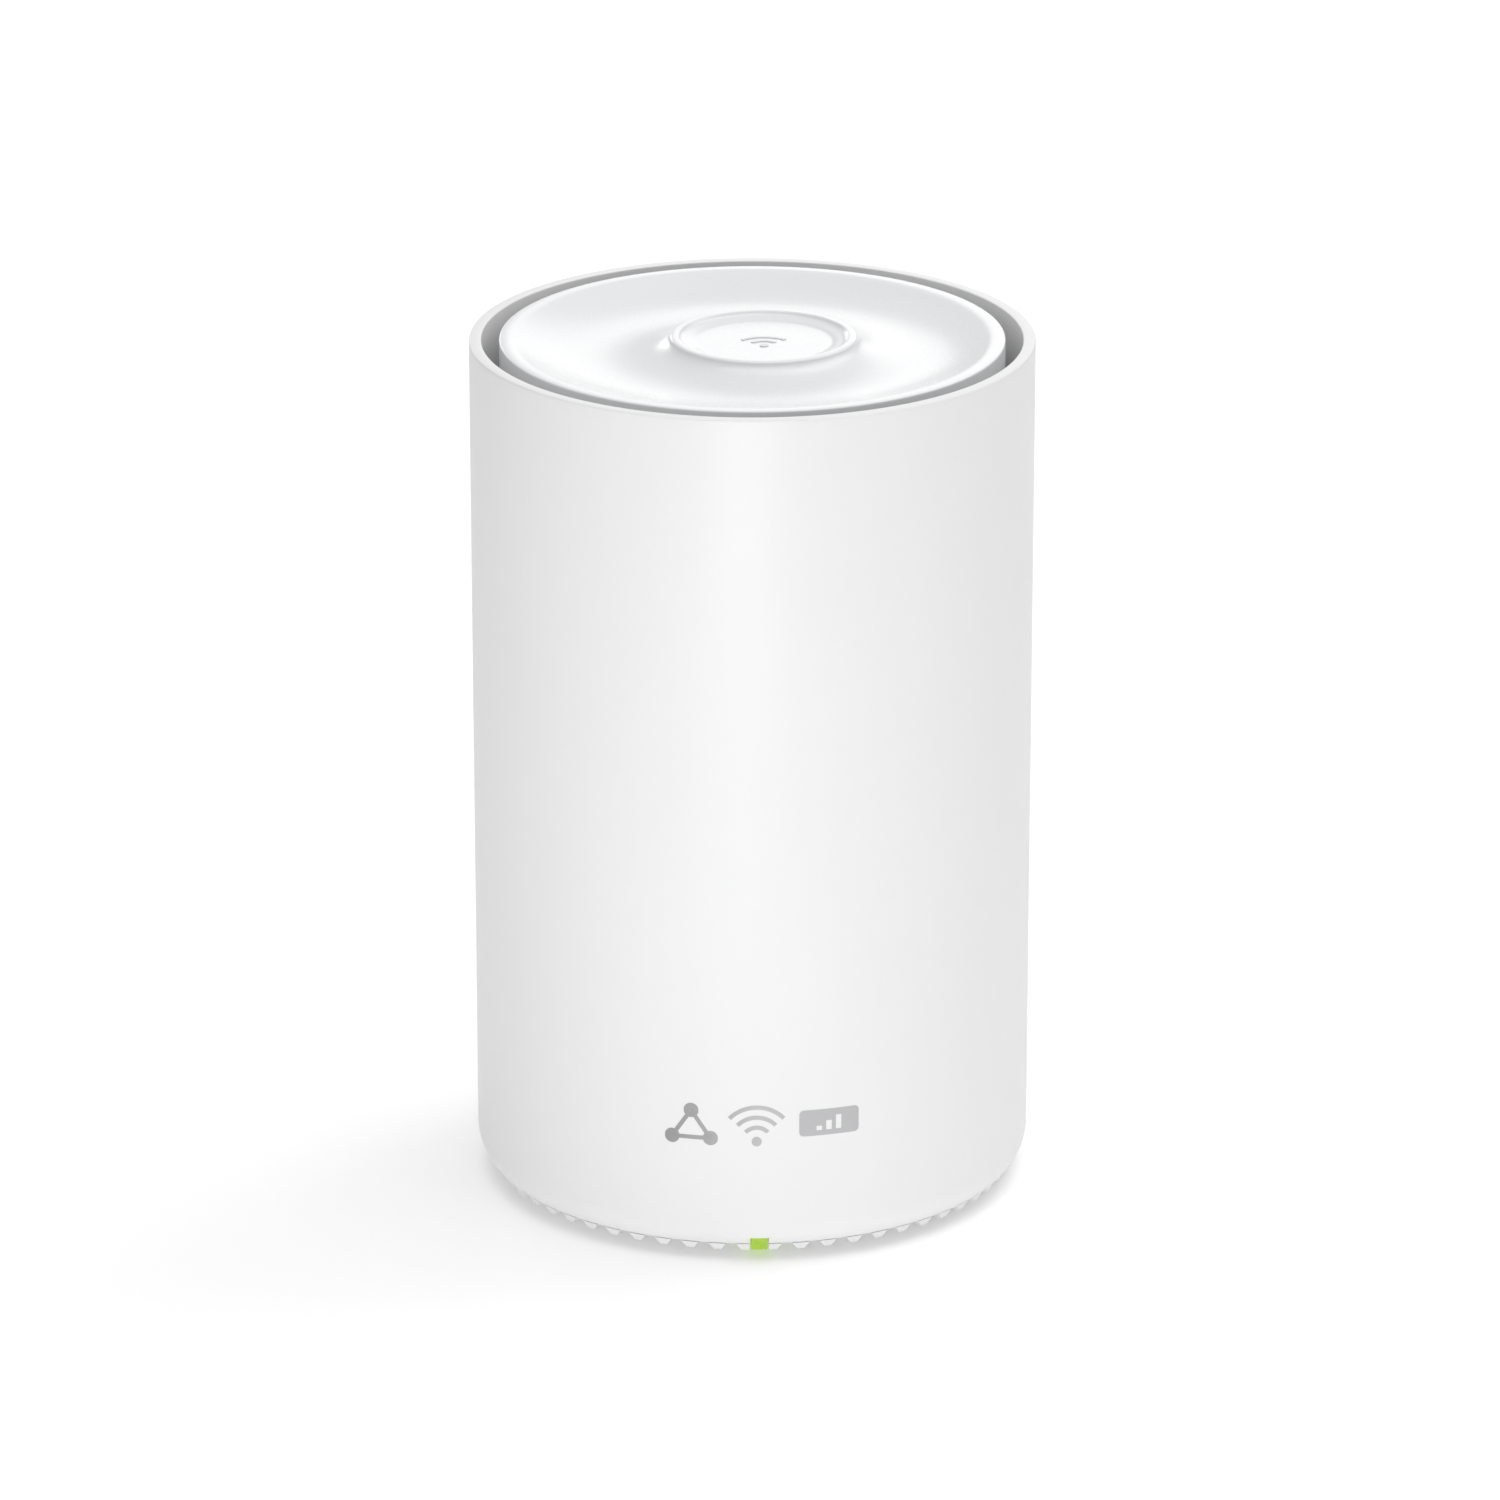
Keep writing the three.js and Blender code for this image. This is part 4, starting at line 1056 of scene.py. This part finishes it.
def phone_card():
    """The card, with its cut corner and its divided gold contact pad."""
    low, high = extent("sim_card")
    centre, half = (low + high) / 2, (high - low) / 2
    cut_corner, steps = 1.6, 6
    outline = rounded(centre.x, centre.y, half.x, half.y, 0.7, steps)[: 3 * (steps + 1)]
    outline += [(high.x - cut_corner, low.y), (high.x, low.y + cut_corner)]
    card = carved("phone_card", prism(outline, low.z, high.z), soften=0.06, segments=1)
    settle(card, NATURAL, "sim_card", ["sim_card"])
    pads = []
    for i in range(4):
        for s in (-1, 1):
            cx, cy = s * 2, low.y + 2.6 + i * 2.2
            pads.append(prism(rounded(cx, cy, 1.7, 0.9, 0.35, 3), high.z - 0.02, high.z + 0.02))
    settle(mesh_piece("card_contacts", together(pads)), GOLD, "sim_card")


# ---- Pieces that stay as the CAD made them ----


def smoothing():
    """A node group that merges doubled points and shades a mesh smooth between its sharp edges."""
    tree = bpy.data.node_groups.new("smooth_faces", "GeometryNodeTree")
    for way in ("INPUT", "OUTPUT"):
        tree.interface.new_socket("Geometry", in_out=way, socket_type="NodeSocketGeometry")
    start, end = tree.nodes.new("NodeGroupInput"), tree.nodes.new("NodeGroupOutput")
    remove = tree.nodes.new("GeometryNodeRemoveAttribute")
    remove.inputs["Name"].default_value = "custom_normal"
    merge = tree.nodes.new("GeometryNodeMergeByDistance")
    merge.inputs["Distance"].default_value = 1e-6
    smooth = tree.nodes.new("GeometryNodeSetShadeSmooth")
    sharp = tree.nodes.new("GeometryNodeSetShadeSmooth")
    sharp.domain = "EDGE"
    sharp.inputs["Shade Smooth"].default_value = False
    angle = tree.nodes.new("GeometryNodeInputMeshEdgeAngle")
    compare = tree.nodes.new("FunctionNodeCompare")
    compare.operation = "GREATER_THAN"
    compare.inputs[1].default_value = math.radians(40)
    tree.links.new(angle.outputs["Unsigned Angle"], compare.inputs[0])
    tree.links.new(compare.outputs["Result"], sharp.inputs["Selection"])
    chain = [start, remove, merge, smooth, sharp, end]
    for near, far in zip(chain, chain[1:]):
        tree.links.new(near.outputs[0], far.inputs[0])
    return tree


def dress(nodes, material, bevel=0.15):
    """Gives CAD nodes a material, merged flat faces and rounded edges."""
    for name in nodes:
        node = frame["nodes"][name]
        for material_slot in node.material_slots:
            material_slot.material = material
        modifier = node.modifiers.new("smooth_faces", "NODES")
        modifier.node_group = SMOOTHING
        flat = node.modifiers.new("merge_flat_faces", "DECIMATE")
        flat.decimate_type, flat.angle_limit = "DISSOLVE", math.radians(1)
        if bevel:
            round_edges(node, bevel)


def both(*names):
    return [f"{name}_{side}" for name in names for side in AERIAL_SIDES]


def dress_inside():
    """The boards, the cooling and the frame, which the shell hides."""
    dress(["top_vent_ring"], WHITE)
    dress(["chassis_plate", *both("chassis_rail")], GREY)
    dress([f"base_screw_{i}" for i in (1, 2, 3, 4)], STEEL, 0.08)
    dress(["reset_switch", "sim_socket", "soc_shield", "wifi_shield", "lte_module"], STEEL)
    dress(["reset_plunger", "board_connector"], BLACK)
    dress(["status_led"], NATURAL)
    dress(["io_board", "main_board", "sim_board", *both("wifi_antenna", "lte_antenna")], BOARD, 0.05)
    dress(["heat_sink", "lte_heat_spreader"], ALUMINIUM, 0.2)
    dress(["soc_thermal_pad", "wifi_thermal_pad", "lte_thermal_pad"], PAD, 0.1)
    dress(both("coax_wifi", "coax_lte", "coax_sma"), CABLE, 0)


# ---- Assembly ----

SMOOTHING = smoothing()

settle(shell(), WHITE, replaces=["outer_shell"])
settle(cover(), COVER_WHITE, replaces=["top_cover"])
front_marks()
cover_mark()
base()
for foot_name in FOOT_NAMES:
    foot(foot_name)
label()
light_guide()
reset_button()
panel()
pocket_signs()
for socket_number in (1, 2, 3):
    network_can(socket_number)
    network_insert(socket_number)
    network_contacts(socket_number)
power_socket()
for socket_side in AERIAL_SIDES:
    aerial_barrel(socket_side)
    aerial_nut(socket_side)
    aerial_cap(socket_side)
phone_card()
dress_inside()


# ---- Camera, floor and light ----


def looking(name, data, aim, azimuth, elevation, distance):
    """A new camera or light that looks at a point, in metres: azimuth 0 is the front, 90 the right side."""
    a, e = math.radians(azimuth), math.radians(elevation)
    back = Vector((math.sin(a) * math.cos(e), -math.cos(a) * math.cos(e), math.sin(e)))
    made = bpy.data.objects.new(name, data)
    made.rotation_mode = "QUATERNION"
    made.location, made.rotation_quaternion = aim + back * distance, (-back).to_track_quat("-Z", "Y")
    bpy.context.scene.collection.objects.link(made)
    return made


def camera():
    optics = bpy.data.cameras.new("camera")
    optics.lens = 191.88
    aim = Vector((-0.45, 0.01, SHELL_LOW.z + 83.3)) * MM
    bpy.context.scene.camera = looking("camera", optics, aim, azimuth=-1.5, elevation=19.67, distance=1.58)


def softbox(name, azimuth, elevation, distance, size, power, height):
    """A rectangular light, in metres and watts, that looks at a height on the object's axis."""
    lamp = bpy.data.lights.new(name, "AREA")
    lamp.shape = "RECTANGLE"
    lamp.size, lamp.size_y = size
    lamp.energy = power
    looking(name, lamp, Vector((0, 0, height)), azimuth, elevation, distance)


def floor():
    reach = 3000
    verts = [(-reach, -reach, 0), (reach, -reach, 0), (reach, reach, 0), (-reach, reach, 0)]
    made = mesh_piece("floor", (verts, [(0, 1, 2, 3)]))
    paper = Nodes("floor_paper")
    paper.set(
        Base_Color=paper.blend(paper.noise(6, 3), (0.93, 0.93, 0.93), (0.95, 0.95, 0.95)),
        Roughness=0.9,
        Emission_Color=(1, 1, 1),
        Emission_Strength=0.19,
    )
    made.data.materials.append(paper.material)


def world():
    made = bpy.data.worlds.new("studio")
    made.use_nodes = True
    background = made.node_tree.nodes["Background"]
    background.inputs["Color"].default_value = (1, 1, 1, 1)
    background.inputs["Strength"].default_value = 0.41
    bpy.context.scene.world = made


camera()
floor()
world()
softbox("overhead", 0, 88, 1.2, (1, 1), 6.2, 0.15)
softbox("right", 120, 50, 1.2, (0.8, 0.8), 4.2, 0.15)
softbox("back", 168, 17, 1.2, (0.6, 0.4), 1, 0.15)
softbox("back_left", 200, 10, 1.2, (0.35, 0.3), 1.2, 0.15)
softbox("front_strip", -5, 0, 0.5, (0.08, 0.22), 0.66, 0.11)
bpy.context.scene.view_settings.view_transform = "Standard"
